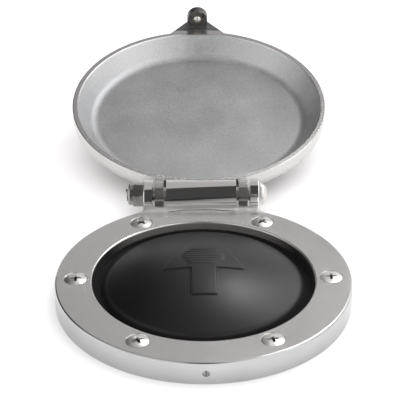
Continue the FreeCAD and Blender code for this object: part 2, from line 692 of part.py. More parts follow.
def bottom_cover():
    """Disc that closes the housing, with a boss for each terminal and a seal groove in its edge."""
    edge = dim.step_radius - dim.bottom_gap
    middle = (dim.cover_step + dim.barrel_bottom) / 2
    disc = turned("bottom_disc", [
        (0, dim.cover_step),
        (0, dim.barrel_bottom),
        (edge, dim.barrel_bottom),
        (edge, middle - dim.o_ring_wire / 2),
        (edge - dim.o_ring_wire + dim.bottom_gap, middle - dim.o_ring_wire / 2),
        (edge - dim.o_ring_wire + dim.bottom_gap, middle + dim.o_ring_wire / 2),
        (edge, middle + dim.o_ring_wire / 2),
        (edge, dim.cover_step),
    ])
    solids = [disc]
    tools = []
    for side in SIDES:
        name = "left" if side < 0 else "right"
        solids.append(cylinder("terminal_boss_" + name, dim.terminal_boss_radius,
                               dim.terminal_seat - dim.barrel_bottom, side * dim.terminal_x, 0,
                               dim.barrel_bottom))
        tools.append(cylinder("terminal_hole_" + name, dim.terminal_radius,
                              dim.terminal_seat - dim.barrel_bottom + 2 * THROUGH,
                              side * dim.terminal_x, 0, dim.barrel_bottom - THROUGH))
    for number, angle in enumerate(PILLAR_ANGLES):
        x, y = on_circle(dim.pillar_circle, angle)
        tools.append(cylinder("bottom_hole_{}".format(number), dim.pillar_screw_radius,
                              dim.cover_step - dim.barrel_bottom + 2 * THROUGH, x, y,
                              dim.barrel_bottom - THROUGH))
        tools.append(cylinder("bottom_sink_{}".format(number), dim.pillar_head_radius + dim.bottom_gap,
                              dim.pillar_head_height + THROUGH, x, y, dim.barrel_bottom - THROUGH))
    return cut("bottom", joined("bottom_solid", *solids), *tools)


def bottom_seal():
    """O-ring pressed square in its groove."""
    outer = dim.step_radius
    inner = dim.step_radius - dim.o_ring_wire
    middle = (dim.cover_step + dim.barrel_bottom) / 2
    return turned("bottom_seal_ring", [
        (inner, middle - dim.o_ring_wire / 2),
        (outer, middle - dim.o_ring_wire / 2),
        (outer, middle + dim.o_ring_wire / 2),
        (inner, middle + dim.o_ring_wire / 2),
    ])


def bottom_screw(number, angle):
    """One screw with a round head sunk in the bottom cover."""
    x, y = on_circle(dim.pillar_circle, angle)
    name = "bottom_screw_{}".format(number)
    head = cylinder(name + "_head", dim.pillar_head_radius, dim.pillar_head_height, x, y, dim.barrel_bottom)
    shank_start = dim.barrel_bottom + dim.pillar_head_height
    shank = cylinder(name + "_shank", dim.pillar_screw_radius, dim.pillar_screw_tip - shank_start, x, y,
                     shank_start)
    slot = block(name + "_slot", x - dim.pillar_head_radius - THROUGH, x + dim.pillar_head_radius + THROUGH,
                 y - dim.recess_width / 2, y + dim.recess_width / 2, dim.barrel_bottom - THROUGH,
                 dim.barrel_bottom + dim.pillar_head_height / 2)
    return cut(name, joined(name + "_solid", head, shank), slot)


def terminal_stud(name, side):
    """Stud with a round head inside the housing."""
    body = turned(name + "_turned", [
        (0, dim.terminal_seat + dim.terminal_head_height),
        (0, dim.terminal_end),
        (dim.terminal_radius - dim.terminal_chamfer, dim.terminal_end),
        (dim.terminal_radius, dim.terminal_end + dim.terminal_chamfer),
        (dim.terminal_radius, dim.terminal_seat),
        (dim.terminal_head_radius, dim.terminal_seat),
        (dim.terminal_head_radius, dim.terminal_seat + dim.terminal_head_height),
    ])
    return place(body, x=side * dim.terminal_x)


def terminal_nut(name, side, height, top):
    """Hexagon nut on a terminal stud, hanging below the given height."""
    nut = hexagon(name + "_hex", dim.terminal_nut_flats, height, side * dim.terminal_x, 0, top - height)
    bore = cylinder(name + "_bore", dim.terminal_radius, height + 2 * THROUGH, side * dim.terminal_x, 0,
                    top - height - THROUGH)
    return cut(name, nut, bore)


def terminal_washer(name, side, radius, height, top):
    disc = cylinder(name + "_disc", radius, height, side * dim.terminal_x, 0, top - height)
    bore = cylinder(name + "_bore", dim.terminal_radius, height + 2 * THROUGH, side * dim.terminal_x, 0,
                    top - height - THROUGH)
    return cut(name, disc, bore)


def split_washer(name, side, top):
    """Spring washer with its slanting gap shown as a straight one."""
    ring = terminal_washer(name + "_ring", side, dim.spring_washer_radius, dim.spring_washer_height, top)
    gap = block(name + "_gap", side * dim.terminal_x - dim.recess_width / 2,
                side * dim.terminal_x + dim.recess_width / 2, 0, dim.spring_washer_radius + THROUGH,
                top - dim.spring_washer_height - THROUGH, top + THROUGH)
    return cut(name, ring, gap)


# ---------------------------------------------------------------- hinge hardware

def hinge_bolt():
    """Long bolt through ears, lugs and barrel, its low domed head on the +X side."""
    shank = cylinder("bolt_shank", dim.bolt_radius, dim.tab_half + dim.bolt_end, -dim.bolt_end, dim.hinge_y,
                     dim.hinge_z, "X")
    head = cylinder("bolt_head", dim.bolt_head_radius, dim.bolt_head_height, dim.tab_half, dim.hinge_y,
                    dim.hinge_z, "X")
    dome = rounded("bolt_dome", head, dim.bolt_head_rounding,
                   lambda edge: round_edge(edge, dim.bolt_head_radius) and
                   edge.Curve.Center.x > dim.tab_half.number + THROUGH)
    end = rounded("bolt_end", shank, dim.lip_rounding,
                  lambda edge: round_edge(edge, dim.bolt_radius) and edge.Curve.Center.x < 0)
    return joined("bolt", end, dome)


def hinge_nut():
    """Lock nut: a hexagon against the ear and a round collar for the nylon ring."""
    hex_end = dim.tab_half + dim.nut_hex_height
    turn = Rotation(Vector(1, 0, 0), dim.nut_tilt.number).multiply(AXIS_TURN["X"])
    hexagonal = hexagon("nut_hex", dim.nut_flats, dim.nut_hex_height, -hex_end, dim.hinge_y, dim.hinge_z,
                        turn)
    corner = dim.nut_flats / root(as_size(3))
    # A lathe chamfer takes the six corners off at both ends of the hexagon.
    chamfer = cylinder("nut_chamfer", corner, dim.nut_hex_height, -hex_end, dim.hinge_y, dim.hinge_z, "X")
    barrel = rounded("nut_barrel", chamfer, dim.nut_chamfer, lambda edge: round_edge(edge, corner))
    collar = cylinder("nut_collar", dim.nut_collar_radius, dim.nut_collar_height + THROUGH,
                      -hex_end - dim.nut_collar_height, dim.hinge_y, dim.hinge_z, "X")
    collar_round = rounded("nut_collar_rounded", collar, dim.nut_collar_rounding,
                           lambda edge: round_edge(edge, dim.nut_collar_radius) and
                           edge.Curve.Center.x < -hex_end.number)
    bore = cylinder("nut_bore", dim.bolt_radius, dim.bolt_end, -dim.bolt_end - THROUGH, dim.hinge_y,
                    dim.hinge_z, "X")
    pocket = cylinder("nut_pocket", dim.insert_radius, dim.nut_collar_height,
                      -hex_end - dim.nut_collar_height - dim.lip_rounding, dim.hinge_y, dim.hinge_z, "X")
    solid = joined("nut_solid", shared("nut_hex_round", hexagonal, barrel), collar_round)
    return cut("nut", solid, bore, pocket)


def nut_insert():
    """Nylon ring in the nut's collar."""
    start = dim.tab_half + dim.nut_hex_height + dim.nut_collar_height
    length = dim.nut_collar_height - dim.lip_rounding
    ring = cylinder("insert_ring", dim.insert_radius, length, -start, dim.hinge_y, dim.hinge_z, "X")
    bore = cylinder("insert_bore", dim.bolt_radius, length + 2 * THROUGH, -start - THROUGH, dim.hinge_y,
                    dim.hinge_z, "X")
    return cut("insert", ring, bore)


# ---------------------------------------------------------------- cover and its ball catch

def cover():
    """Dished lid with two hinge lugs at the back and a latch tab at the front, modelled shut."""
    rim_z = dim.ring_height + dim.cover_gap
    crown_rise = dim.cover_crown_z - dim.cover_shoulder_z
    half_chord = dim.cover_shoulder_radius
    crown_sphere = (half_chord * half_chord + crown_rise * crown_rise) / (2 * crown_rise)
    dish = turned("dish", [
        (0, dim.cover_floor_z),
        (dim.cover_floor_radius, dim.cover_floor_z),
        (dim.cover_radius - dim.cover_lip, rim_z),
        (dim.cover_radius, rim_z),
        (dim.cover_radius, dim.cover_side_z),
        Arc(dim.cover_shoulder_radius, dim.cover_shoulder_z, dim.cover_side_bend, 1),
        Arc(0, dim.cover_crown_z, crown_sphere, 1),
    ])
    place(dish, y=dim.cover_centre_y)
    blended = rounded("dish_blended", dish, dim.cover_blend,
                      lambda edge: round_edge(edge, dim.cover_floor_radius))
    edged = rounded("dish_edged", blended, dim.lip_rounding,
                    lambda edge: level_edge(edge, rim_z))
    solids = [edged]
    tools = []
    lug_low = dim.ring_height + dim.lug_clearance
    for side in SIDES:
        name = "left" if side < 0 else "right"
        x0 = side * dim.lug_centre - dim.lug_width / 2
        x1 = side * dim.lug_centre + dim.lug_width / 2
        eye = cylinder("lug_eye_" + name, dim.lug_knuckle_radius, dim.lug_width, x0, dim.hinge_y,
                       dim.hinge_z, "X")
        arm = block("lug_arm_" + name, x0, x1, dim.lug_front, dim.hinge_y, lug_low, dim.lug_top)
        solids.extend((eye, arm))
    plate = extruded("latch_plate_blank", [
        (-dim.latch_root_half, -dim.latch_root_y),
        (-dim.latch_half, -dim.latch_back),
        (dim.latch_half, -dim.latch_back),
        (dim.latch_root_half, -dim.latch_root_y),
    ], dim.latch_plate)
    place(plate, z=rim_z)
    tab = block("latch_tab", -dim.latch_half, dim.latch_half, -dim.latch_back, -dim.latch_face,
                dim.latch_tip_z, rim_z + dim.latch_plate / 2)
    tip = cylinder("latch_tip", dim.latch_half, dim.latch_back - dim.latch_face, 0, -dim.latch_back,
                   dim.latch_tip_z, "Y")
    faced = rounded("latch_faced", joined("latch", plate, tab, tip), dim.lip_rounding, latch_face_edge)
    latch = rounded("latch_rounded", faced, dim.latch_back_rounding, latch_back_edge)
    solids.append(latch)
    bore_length = 2 * (dim.lug_centre + dim.lug_width)
    tools.append(cylinder("lug_bore", dim.lug_bore_radius, bore_length, -bore_length / 2, dim.hinge_y,
                          dim.hinge_z, "X"))
    relief_half = dim.slot_inner + dim.relief_side
    tools.append(cylinder("barrel_clearance", dim.barrel_relief, 2 * relief_half, -relief_half,
                          dim.hinge_y, dim.hinge_z, "X"))
    tools.append(cylinder("sleeve_hole", dim.sleeve_radius, dim.sleeve_depth + THROUGH, 0,
                          -dim.latch_face - dim.sleeve_depth, dim.catch_height, "Y"))
    return swung_open(cut("lid", joined("lid_solid", *solids), *tools))


def latch_outline(edge, y):
    """Whether an edge is part of the tab's outline on the face at y, clear of the plate."""
    box = edge.BoundBox
    return abs(box.YMin + y.number) < NEAR and box.YLength < NEAR and box.ZMin < dim.ring_height.number - THROUGH


def latch_face_edge(edge):
    return latch_outline(edge, dim.latch_face)


def latch_back_edge(edge):
    return latch_outline(edge, dim.latch_back)


def catch_sleeve():
    """Sleeve of the ball catch, closed at the back and drawn in at the mouth."""
    wall_bottom = -dim.sleeve_depth + dim.catch_wire
    body = turned("sleeve_turned", [
        (dim.sleeve_mouth, 0),
        (dim.sleeve_bore, -dim.lip_rounding),
        (dim.sleeve_bore, wall_bottom),
        (0, wall_bottom),
        (0, -dim.sleeve_depth),
        (dim.sleeve_radius, -dim.sleeve_depth),
        (dim.sleeve_radius, 0),
    ])
    return laid_in_latch("sleeve_laid", body)


def laid_in_latch(name, feature):
    """Lay a piece made round Z into the latch, its +Z pointing out of the tab's inner face."""
    laid = doc.addObject("Part::Compound", name)
    place(feature, y=-dim.latch_face, z=dim.catch_height, turn=Rotation(Vector(1, 0, 0), -90))
    laid.Links = [feature]
    return swung_open(laid)


def ball_depth():
    """How far the ball's centre lies behind the tab's inner face."""
    return dim.ring_radius - dim.ball_seat + dim.ball_radius - dim.latch_face


def catch_ball():
    ball = bind(doc.addObject("Part::Sphere", "ball"), Radius=dim.ball_radius)
    moved = doc.addObject("Part::Compound", "ball_moved")
    moved.Links = [place(ball, z=-ball_depth())]
    return laid_in_latch("ball_laid", moved)


def catch_spring():
    low = -dim.sleeve_depth + dim.catch_wire + dim.spring_end_gap
    high = -ball_depth() - dim.ball_back
    radius = dim.sleeve_bore - dim.catch_wire / 2 - dim.spring_end_gap * 2
    spring = coil("catch_coil", radius, dim.catch_wire, dim.catch_turns, low, high)
    return laid_in_latch("catch_coil_laid", spring)


# ---------------------------------------------------------------- button and contacts

def diaphragm():
    """Rubber button cover: crown, rolling wall, groove and the bead that the ring traps."""
    crown_edge_z = dim.dome_apex - dim.dome_sphere + leg(dim.dome_sphere, dim.dome_radius)
    inner_sphere = dim.dome_sphere - dim.dome_wall
    inner_edge_z = dim.dome_apex - dim.dome_sphere + leg(inner_sphere, dim.dome_inner_radius)
    bead_low = dim.flange_height + dim.bead_gap
    bead_top = dim.bead_pocket_top - dim.bead_gap
    return turned("diaphragm_turned", [
        (0, dim.dome_apex - dim.dome_wall),
        Arc(dim.dome_inner_radius, inner_edge_z, inner_sphere, -1),
        (dim.dome_inner_radius, bead_low),
        (dim.bead_radius, bead_low),
        (dim.bead_radius, bead_top),
        (dim.moat_outer + dim.moat_rise, bead_top),
        (dim.moat_outer, dim.moat_z),
        (dim.moat_inner, dim.moat_z),
        (dim.dome_radius + dim.shoulder_drop, crown_edge_z - dim.shoulder_drop),
        (dim.dome_radius, crown_edge_z),
        Arc(0, dim.dome_apex, dim.dome_sphere, 1),
    ])


def plunger():
    """Domed plate on a guide stem, with a hub for the return spring."""
    apex = dim.dome_apex - dim.dome_wall - dim.plunger_gap
    sphere = dim.dome_sphere - dim.dome_wall - dim.plunger_gap
    edge_z = apex - sphere + leg(sphere, dim.plunger_radius)
    rim_inner = dim.plunger_radius - dim.plunger_rim_width
    under = sphere - dim.plunger_shell
    under_rim_z = apex - sphere + leg(under, rim_inner)
    under_hub_z = apex - sphere + leg(under, dim.plunger_hub_radius)
    groove_top = dim.bar_top - dim.bar_height - dim.spring_end_gap
    groove_bottom = groove_top - dim.clip_height
    return turned("plunger_turned", [
        (0, dim.pin_bottom),
        (dim.pin_radius, dim.pin_bottom),
        (dim.pin_radius, groove_bottom),
        (dim.clip_groove_radius, groove_bottom),
        (dim.clip_groove_radius, groove_top),
        (dim.pin_radius, groove_top),
        (dim.pin_radius, dim.stem_bottom),
        (dim.stem_radius, dim.stem_bottom),
        (dim.stem_radius, dim.plunger_rim_z),
        (dim.plunger_hub_radius, dim.plunger_rim_z),
        (dim.plunger_hub_radius, under_hub_z),
        Arc(rim_inner, under_rim_z, under, -1),
        (rim_inner, dim.plunger_rim_z),
        (dim.plunger_radius, dim.plunger_rim_z),
        (dim.plunger_radius, edge_z),
        Arc(0, apex, sphere, 1),
    ])


def retaining_clip():
    """Open clip snapped into the pin's groove below the contact bar."""
    top = dim.bar_top - dim.bar_height - dim.spring_end_gap
    disc = cylinder("clip_disc", dim.clip_radius, dim.clip_height, z=top - dim.clip_height)
    bore = cylinder("clip_bore", dim.clip_groove_radius, dim.clip_height + 2 * THROUGH,
                    z=top - dim.clip_height - THROUGH)
    mouth = block("clip_mouth", -dim.clip_mouth_half, dim.clip_mouth_half, -dim.clip_radius - THROUGH, 0,
                  top - dim.clip_height - THROUGH, top + THROUGH)
    return cut("clip", disc, bore, mouth)


def contact_bar():
    """Copper bar that joins the two terminals when the button is down."""
    bar = block("bar_blank", -dim.bar_half_length, dim.bar_half_length, -dim.bar_half_width,
                dim.bar_half_width, dim.bar_top - dim.bar_height, dim.bar_top)
    bar_round = rounded("bar_rounded", bar, dim.bar_half_width / 2,
                        lambda edge: edge.BoundBox.XLength < NEAR and edge.BoundBox.YLength < NEAR)
    bore = cylinder("bar_hole", dim.bar_bore, dim.bar_height + 2 * THROUGH,
                    z=dim.bar_top - dim.bar_height - THROUGH)
    return cut("bar", bar_round, bore)


def silver_tip(name, side, top):
    return cylinder(name, dim.tip_radius, dim.tip_height, side * dim.terminal_x, 0, top - dim.tip_height)


# ---------------------------------------------------------------- the assembly

piece("base_ring", base_ring())
piece("deck_screws", group("deck_screw_set", [
    deck_screw(number, angle, cross_turn)
    for number, (angle, cross_turn) in enumerate(zip(SCREW_ANGLES, CROSS_TURNS))
]))
piece("switch_body", switch_body())
piece("body_screws", group("body_screw_set", [
    body_screw(number, angle) for number, angle in enumerate(BODY_SCREW_ANGLES)
]))
piece("deck_seal", deck_seal())
piece("bottom_cover", bottom_cover())
piece("bottom_seal", bottom_seal())
piece("bottom_screws", group("bottom_screw_set", [
    bottom_screw(number, angle) for number, angle in enumerate(PILLAR_ANGLES)
]))
piece("terminal_stud_left", terminal_stud("stud_left", -1))
piece("terminal_stud_right", terminal_stud("stud_right", 1))

bar_bottom = dim.bar_top - dim.bar_height
moving_tip_bottom = bar_bottom - dim.tip_height
fixed_tip_top = moving_tip_bottom - dim.contact_gap
jam_nut_top = dim.barrel_bottom - dim.washer_height
lug_washer_top = jam_nut_top - dim.jam_nut_height
spring_washer_top = lug_washer_top - dim.washer_height
lug_nut_top = spring_washer_top - dim.spring_washer_height

piece("fixed_contacts", group("fixed_contact_set", [
    cylinder("fixed_contact_{}".format(side), dim.tip_radius,
             fixed_tip_top - (dim.terminal_seat + dim.terminal_head_height), side * dim.terminal_x, 0,
             dim.terminal_seat + dim.terminal_head_height)
    for side in SIDES
]))
piece("housing_washers", group("housing_washer_set", [
    terminal_washer("housing_washer_{}".format(side), side, dim.washer_radius, dim.washer_height,
                    dim.barrel_bottom)
    for side in SIDES
]))
piece("jam_nuts", group("jam_nut_set", [
    terminal_nut("jam_nut_{}".format(side), side, dim.jam_nut_height, jam_nut_top) for side in SIDES
]))
piece("lug_washers", group("lug_washer_set", [
    terminal_washer("lug_washer_{}".format(side), side, dim.washer_radius, dim.washer_height, lug_washer_top)
    for side in SIDES
]))
piece("spring_washers", group("spring_washer_set", [
    split_washer("spring_washer_{}".format(side), side, spring_washer_top) for side in SIDES
]))
piece("lug_nuts", group("lug_nut_set", [
    terminal_nut("lug_nut_{}".format(side), side, dim.lug_nut_height, lug_nut_top) for side in SIDES
]))
piece("hinge_bolt", hinge_bolt())
piece("hinge_nut", hinge_nut())
piece("nut_insert", nut_insert())

piece("diaphragm", diaphragm())
piece("plunger", plunger())
piece("retaining_clip", retaining_clip())
piece("return_spring", coil("return_coil", dim.return_mean_radius, dim.return_wire, dim.return_turns,
                            dim.web_top + dim.spring_end_gap, dim.plunger_rim_z - dim.spring_end_gap))
piece("contact_bar", contact_bar())
piece("bar_contacts", group("bar_contact_set", [
    silver_tip("bar_contact_{}".format(side), side, bar_bottom) for side in SIDES
]))
piece("contact_spring", coil("contact_coil", dim.contact_mean_radius, dim.contact_wire, dim.contact_turns,
                             dim.bar_top + dim.spring_end_gap, dim.stem_bottom - dim.spring_end_gap))

piece("cover", cover())
piece("catch_sleeve", catch_sleeve())
piece("catch_spring", catch_spring())
piece("catch_ball", catch_ball())

# ---------------------------------------------------------------- check and write

doc.recompute()
for feature in doc.Objects:
    if "Invalid" in feature.State or "Error" in feature.State:
        raise RuntimeError("{} failed: {}".format(feature.Name, feature.State))
for feature in pieces:
    shape = feature.Shape
    if shape.isNull() or not shape.isValid() or not shape.Solids or shape.Volume <= 0:
        raise RuntimeError("{} has no valid solid".format(feature.Label))

os.makedirs("parts", exist_ok=True)
for feature in pieces:
    feature.Shape.exportStep("parts/{}.step".format(feature.Label))
    box = feature.Shape.BoundBox
    print("{:20s} solids {:2d} volume {:10.1f}  z {:7.2f} to {:7.2f}".format(
        feature.Label, len(feature.Shape.Solids), feature.Shape.Volume, box.ZMin, box.ZMax))
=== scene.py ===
import json
import math

import bmesh
import bpy
from mathutils import Matrix, Vector
from mathutils.geometry import delaunay_2d_cdt


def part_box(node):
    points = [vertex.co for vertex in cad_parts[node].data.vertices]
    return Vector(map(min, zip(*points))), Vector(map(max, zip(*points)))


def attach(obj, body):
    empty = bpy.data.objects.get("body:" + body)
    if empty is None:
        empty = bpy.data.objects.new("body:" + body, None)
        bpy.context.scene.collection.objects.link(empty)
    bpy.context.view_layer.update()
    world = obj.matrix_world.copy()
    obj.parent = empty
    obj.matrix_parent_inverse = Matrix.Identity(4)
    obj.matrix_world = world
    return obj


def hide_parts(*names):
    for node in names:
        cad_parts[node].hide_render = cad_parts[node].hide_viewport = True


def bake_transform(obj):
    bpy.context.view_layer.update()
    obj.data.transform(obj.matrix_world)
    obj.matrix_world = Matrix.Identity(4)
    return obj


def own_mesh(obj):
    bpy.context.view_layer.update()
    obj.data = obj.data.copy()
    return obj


# Looks of the deck foot switch: a steel ring with an open hinged cover round a rubber button.
# Shapes are drawn in millimetres and turned into metres when a piece is made.

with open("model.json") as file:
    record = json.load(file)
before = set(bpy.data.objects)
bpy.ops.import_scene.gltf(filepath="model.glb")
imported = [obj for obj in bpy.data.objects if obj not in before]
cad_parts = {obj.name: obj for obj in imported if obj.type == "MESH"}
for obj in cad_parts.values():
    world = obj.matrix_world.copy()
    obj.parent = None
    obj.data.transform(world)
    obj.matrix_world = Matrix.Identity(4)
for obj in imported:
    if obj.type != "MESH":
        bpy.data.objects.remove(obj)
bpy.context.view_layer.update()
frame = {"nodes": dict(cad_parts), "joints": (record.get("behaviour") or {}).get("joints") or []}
MM = 0.001

JOINTS = {joint["name"]: joint for joint in frame["joints"]}
RING_LOW, RING_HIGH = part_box("base_ring")
RING_RADIUS = RING_HIGH.x
HINGE = Vector(JOINTS["cover_hinge"]["pos_m"])
COVER_TURN = math.radians(JOINTS["cover_hinge"]["range_deg"][1])
HINGE_MM = HINGE / MM

# ---------------------------------------------------------------- mesh building


class Shape:
    """Points and faces of one piece, in millimetres, gathered from parts that are welded at the end."""

    def __init__(self):
        self.points = []
        self.faces = []

    def add(self, points, faces, matrix=None):
        start = len(self.points)
        if matrix is not None:
            points = [matrix @ Vector(point) for point in points]
        self.points.extend(points)
        self.faces.extend([tuple(start + index for index in face) for face in faces])
        return self

    def moved(self, matrix):
        """A copy of this shape, moved."""
        return Shape().add(self.points, self.faces, matrix)

    def join(self, other):
        return self.add(other.points, other.faces)


WELD = 2e-4
CREASE = math.radians(38)


def make_piece(name, shape, material, node):
    """One closed mesh object that stands for a CAD node."""
    mesh = bpy.data.meshes.new(name)
    work = bmesh.new()
    vertices = [work.verts.new(point) for point in shape.points]
    for face in shape.faces:
        work.faces.new([vertices[index] for index in face])
    bmesh.ops.remove_doubles(work, verts=work.verts, dist=WELD)
    bmesh.ops.dissolve_degenerate(work, edges=work.edges, dist=WELD / 4)
    bmesh.ops.recalc_face_normals(work, faces=work.faces)
    bmesh.ops.scale(work, vec=(MM, MM, MM), verts=work.verts)
    work.to_mesh(mesh)
    work.free()
    mesh.shade_smooth()
    mesh.set_sharp_from_angle(angle=CREASE)
    mesh.materials.append(material)
    piece = bpy.data.objects.new(name, mesh)
    bpy.context.scene.collection.objects.link(piece)
    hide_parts(node)
    return piece


def lathe(profile, segments, radius_at=None):
    """Rings round Z for each (radius, height), with the faces between them."""
    points = []
    for radius, height in profile:
        for step in range(segments):
            angle = 2 * math.pi * step / segments
            reach = radius_at(radius, height, angle) if radius_at else radius
            points.append((reach * math.cos(angle), reach * math.sin(angle), height))
    faces = []
    for ring in range(len(profile) - 1):
        for step in range(segments):
            low = ring * segments + step
            next_low = ring * segments + (step + 1) % segments
            faces.append((low, next_low, next_low + segments, low + segments))
    return points, faces


def bend(centre, radius, first, last, steps):
    """Points of a profile along an arc, from the first to the last angle in degrees."""
    angles = [math.radians(first + (last - first) * step / steps) for step in range(steps + 1)]
    return [(centre[0] + radius * math.cos(a), centre[1] + radius * math.sin(a)) for a in angles]


def circle(radius, count, x=0.0, y=0.0):
    angles = [2 * math.pi * step / count for step in range(count)]
    return [(x + radius * math.cos(a), y + radius * math.sin(a)) for a in angles]


def inside(point, outline):
    """Whether a point in the plane lies within a closed outline."""
    x, y = point
    within = False
    for (x0, y0), (x1, y1) in zip(outline, outline[1:] + outline[:1]):
        if (y0 > y) != (y1 > y) and x < x0 + (x1 - x0) * (y - y0) / (y1 - y0):
            within = not within
    return within


def spread_points(outline, spacing):
    """An outline with more points along its edges."""
    dense = []
    for (x0, y0), (x1, y1) in zip(outline, outline[1:] + outline[:1]):
        count = max(1, round(math.hypot(x1 - x0, y1 - y0) / spacing))
        dense.extend([(x0 + (x1 - x0) * k / count, y0 + (y1 - y0) * k / count) for k in range(count)])
    return dense


def offset_outline(outline, distance):
    """A closed outline, listed anticlockwise, grown outwards by a distance with sharp corners."""
    grown = []
    for before, corner, after in zip(outline[-1:] + outline[:-1], outline, outline[1:] + outline[:1]):
        first = (Vector(corner) - Vector(before)).normalized()
        second = (Vector(after) - Vector(corner)).normalized()
        out_first = Vector((first.y, -first.x))
        out_second = Vector((second.y, -second.x))
        bisector = (out_first + out_second).normalized()
        grown.append(tuple(Vector(corner) + bisector * (distance / bisector.dot(out_first))))
    return grown


def triangulate(loops, loose, keep=None):
    """Triangles over closed loops and loose points in the plane, following every loop."""
    points = []
    edges = []
    for loop in loops:
        start = len(points)
        points.extend(Vector(point) for point in loop)
        edges.extend((start + k, start + (k + 1) % len(loop)) for k in range(len(loop)))
    points.extend(Vector(point) for point in loose)
    flat, _, faces, *_ = delaunay_2d_cdt(points, edges, [], 0, 1e-6)
    if keep:
        faces = [face for face in faces if keep(sum((flat[k] for k in face), Vector((0, 0))) / len(face))]
    return flat, faces


CAP_RING_SHARES = (0.9, 0.78)
CAP_RING_MARGIN = 0.2


def driven_cap(radius, segments, outline, floor_outline, depth, height_at):
    """The top of a screw head out to its edge, with a recess for the driver."""
    rings = [circle(radius * share, segments // 2) for share in CAP_RING_SHARES]
    kept_clear = offset_outline(outline, CAP_RING_MARGIN)
    loose = [point for ring in rings for point in ring if not inside(point, kept_clear)]
    flat, faces = triangulate([circle(radius, segments), outline], loose,
                              lambda middle: not inside(middle, outline))
    points = [(p.x, p.y, height_at(math.hypot(p.x, p.y))) for p in flat]
    shape = Shape().add(points, faces)
    count = len(outline)
    floor_z = height_at(0) - depth
    rim = [(x, y, height_at(math.hypot(x, y))) for x, y in outline]
    floor = [(x, y, floor_z) for x, y in floor_outline]
    walls = [(k, (k + 1) % count, count + (k + 1) % count, count + k) for k in range(count)]
    shape.add(rim + floor, walls + [tuple(range(count, 2 * count))])
    return shape


FLANK_SLOPE = 1.35
CREST_SHARE = 0.2
DEEPEST_SHARE = 0.8


def thread(pitch, depth, start, end):
    """A radius rule that cuts a screw thread between two heights; it fades out over a turn at the end."""
    def radius_at(radius, height, angle):
        if not start <= height <= end:
            return radius
        turn = (height / pitch - angle / (2 * math.pi)) % 1
        groove = min(1.0, max(0.0, abs(2 * turn - 1) * FLANK_SLOPE - CREST_SHARE))
        fade = min(1.0, (end - height) / pitch)
        return radius - min(depth * groove * fade, radius * DEEPEST_SHARE)
    return radius_at


def heights(start, end, spacing):
    """Heights from start to end, both included, about a spacing apart."""
    count = max(1, round(abs(end - start) / spacing))
    return [start + (end - start) * step / count for step in range(count + 1)]


CLOSED_TURNS = 0.9
CLOSED_RISE = 0.55
GROUND_OFF = 0.06


def coil(radius, wire, turns, low, high, sides=14, per_turn=32):
    """A compression spring with closed ends ground flat, round Z."""
    steps = int(turns * per_turn)
    wire_low = low + wire / 2
    wire_high = high - wire / 2
    inner_low = wire_low + wire * CLOSED_RISE
    inner_high = wire_high - wire * CLOSED_RISE

    def height_at(turn):
        """Height of the wire's middle: one slow turn at each end and an even climb between."""
        if turn < CLOSED_TURNS:
            return wire_low + (inner_low - wire_low) * (turn / CLOSED_TURNS) ** 2
        if turn > turns - CLOSED_TURNS:
            return wire_high - (wire_high - inner_high) * ((turns - turn) / CLOSED_TURNS) ** 2
        share = (turn - CLOSED_TURNS) / (turns - 2 * CLOSED_TURNS)
        return inner_low + (inner_high - inner_low) * share

    centres = []
    for step in range(steps + 1):
        turn = step / per_turn
        angle = 2 * math.pi * turn
        centres.append(Vector((radius * math.cos(angle), radius * math.sin(angle), height_at(turn))))
    points = []
    for step, centre in enumerate(centres):
        tangent = (centres[min(step + 1, steps)] - centres[max(step - 1, 0)]).normalized()
        outward = Vector((centre.x, centre.y, 0)).normalized()
        side = tangent.cross(outward).normalized()
        outward = side.cross(tangent).normalized()
        for k in range(sides):
            angle = 2 * math.pi * k / sides
            point = centre + (outward * math.cos(angle) + side * math.sin(angle)) * (wire / 2)
            point.z = min(max(point.z, low + wire * GROUND_OFF), high - wire * GROUND_OFF)
            points.append(tuple(point))
    faces = []
    for step in range(steps):
        for k in range(sides):
            a = step * sides + k
            b = step * sides + (k + 1) % sides
            faces.append((a, b, b + sides, a + sides))
    last = steps * sides
    faces.append(tuple(range(sides)))
    faces.append(tuple(range(last, last + sides)))
    return Shape().add(points, faces)


# ---------------------------------------------------------------- materials


class Nodes:
    """A node tree under construction."""

    def __init__(self, tree):
        self.nodes = tree.nodes
        self.links = tree.links

    def put(self, kind, settings=(), **inputs):
        """A node with its settings and inputs. An input is named by its socket, or _ and its number."""
        node = self.nodes.new(kind)
        for name, value in dict(settings).items():
            setattr(node, name, value)
        for name, value in inputs.items():
            socket = node.inputs[int(name[1:])] if name[0] == "_" else node.inputs[name]
            if isinstance(value, bpy.types.NodeSocket):
                self.links.new(value, socket)
            else:
                socket.default_value = value
        return node

    def math(self, operation, first, second=0.0):
        return self.put("ShaderNodeMath", {"operation": operation}, _0=first, _1=second).outputs[0]

    def plus(self, first, second):
        return self.math("ADD", first, second)

    def minus(self, first, second):
        return self.math("SUBTRACT", first, second)

    def times(self, first, second):
        return self.math("MULTIPLY", first, second)

    def ramp(self, value, low, high, start=0.35, end=0.65):
        """A smooth change from low to high as the value goes from start to end."""
        settings = {"interpolation_type": "SMOOTHSTEP"}
        node = self.put("ShaderNodeMapRange", settings, _0=value, _1=start, _2=end, _3=low, _4=high)
        return node.outputs[0]

    def mixed(self, mask, first, second):
        """Two colours or two numbers mixed by a mask."""
        is_colour = isinstance(first, bpy.types.NodeSocketColor)
        settings = {"data_type": "RGBA" if is_colour else "FLOAT"}
        offset = 6 if is_colour else 2
        node = self.put("ShaderNodeMix", settings, _0=mask, **{f"_{offset}": first, f"_{offset + 1}": second})
        return node.outputs[2 if is_colour else 0]


TINT_START = 0.3
TINT_END = 0.7


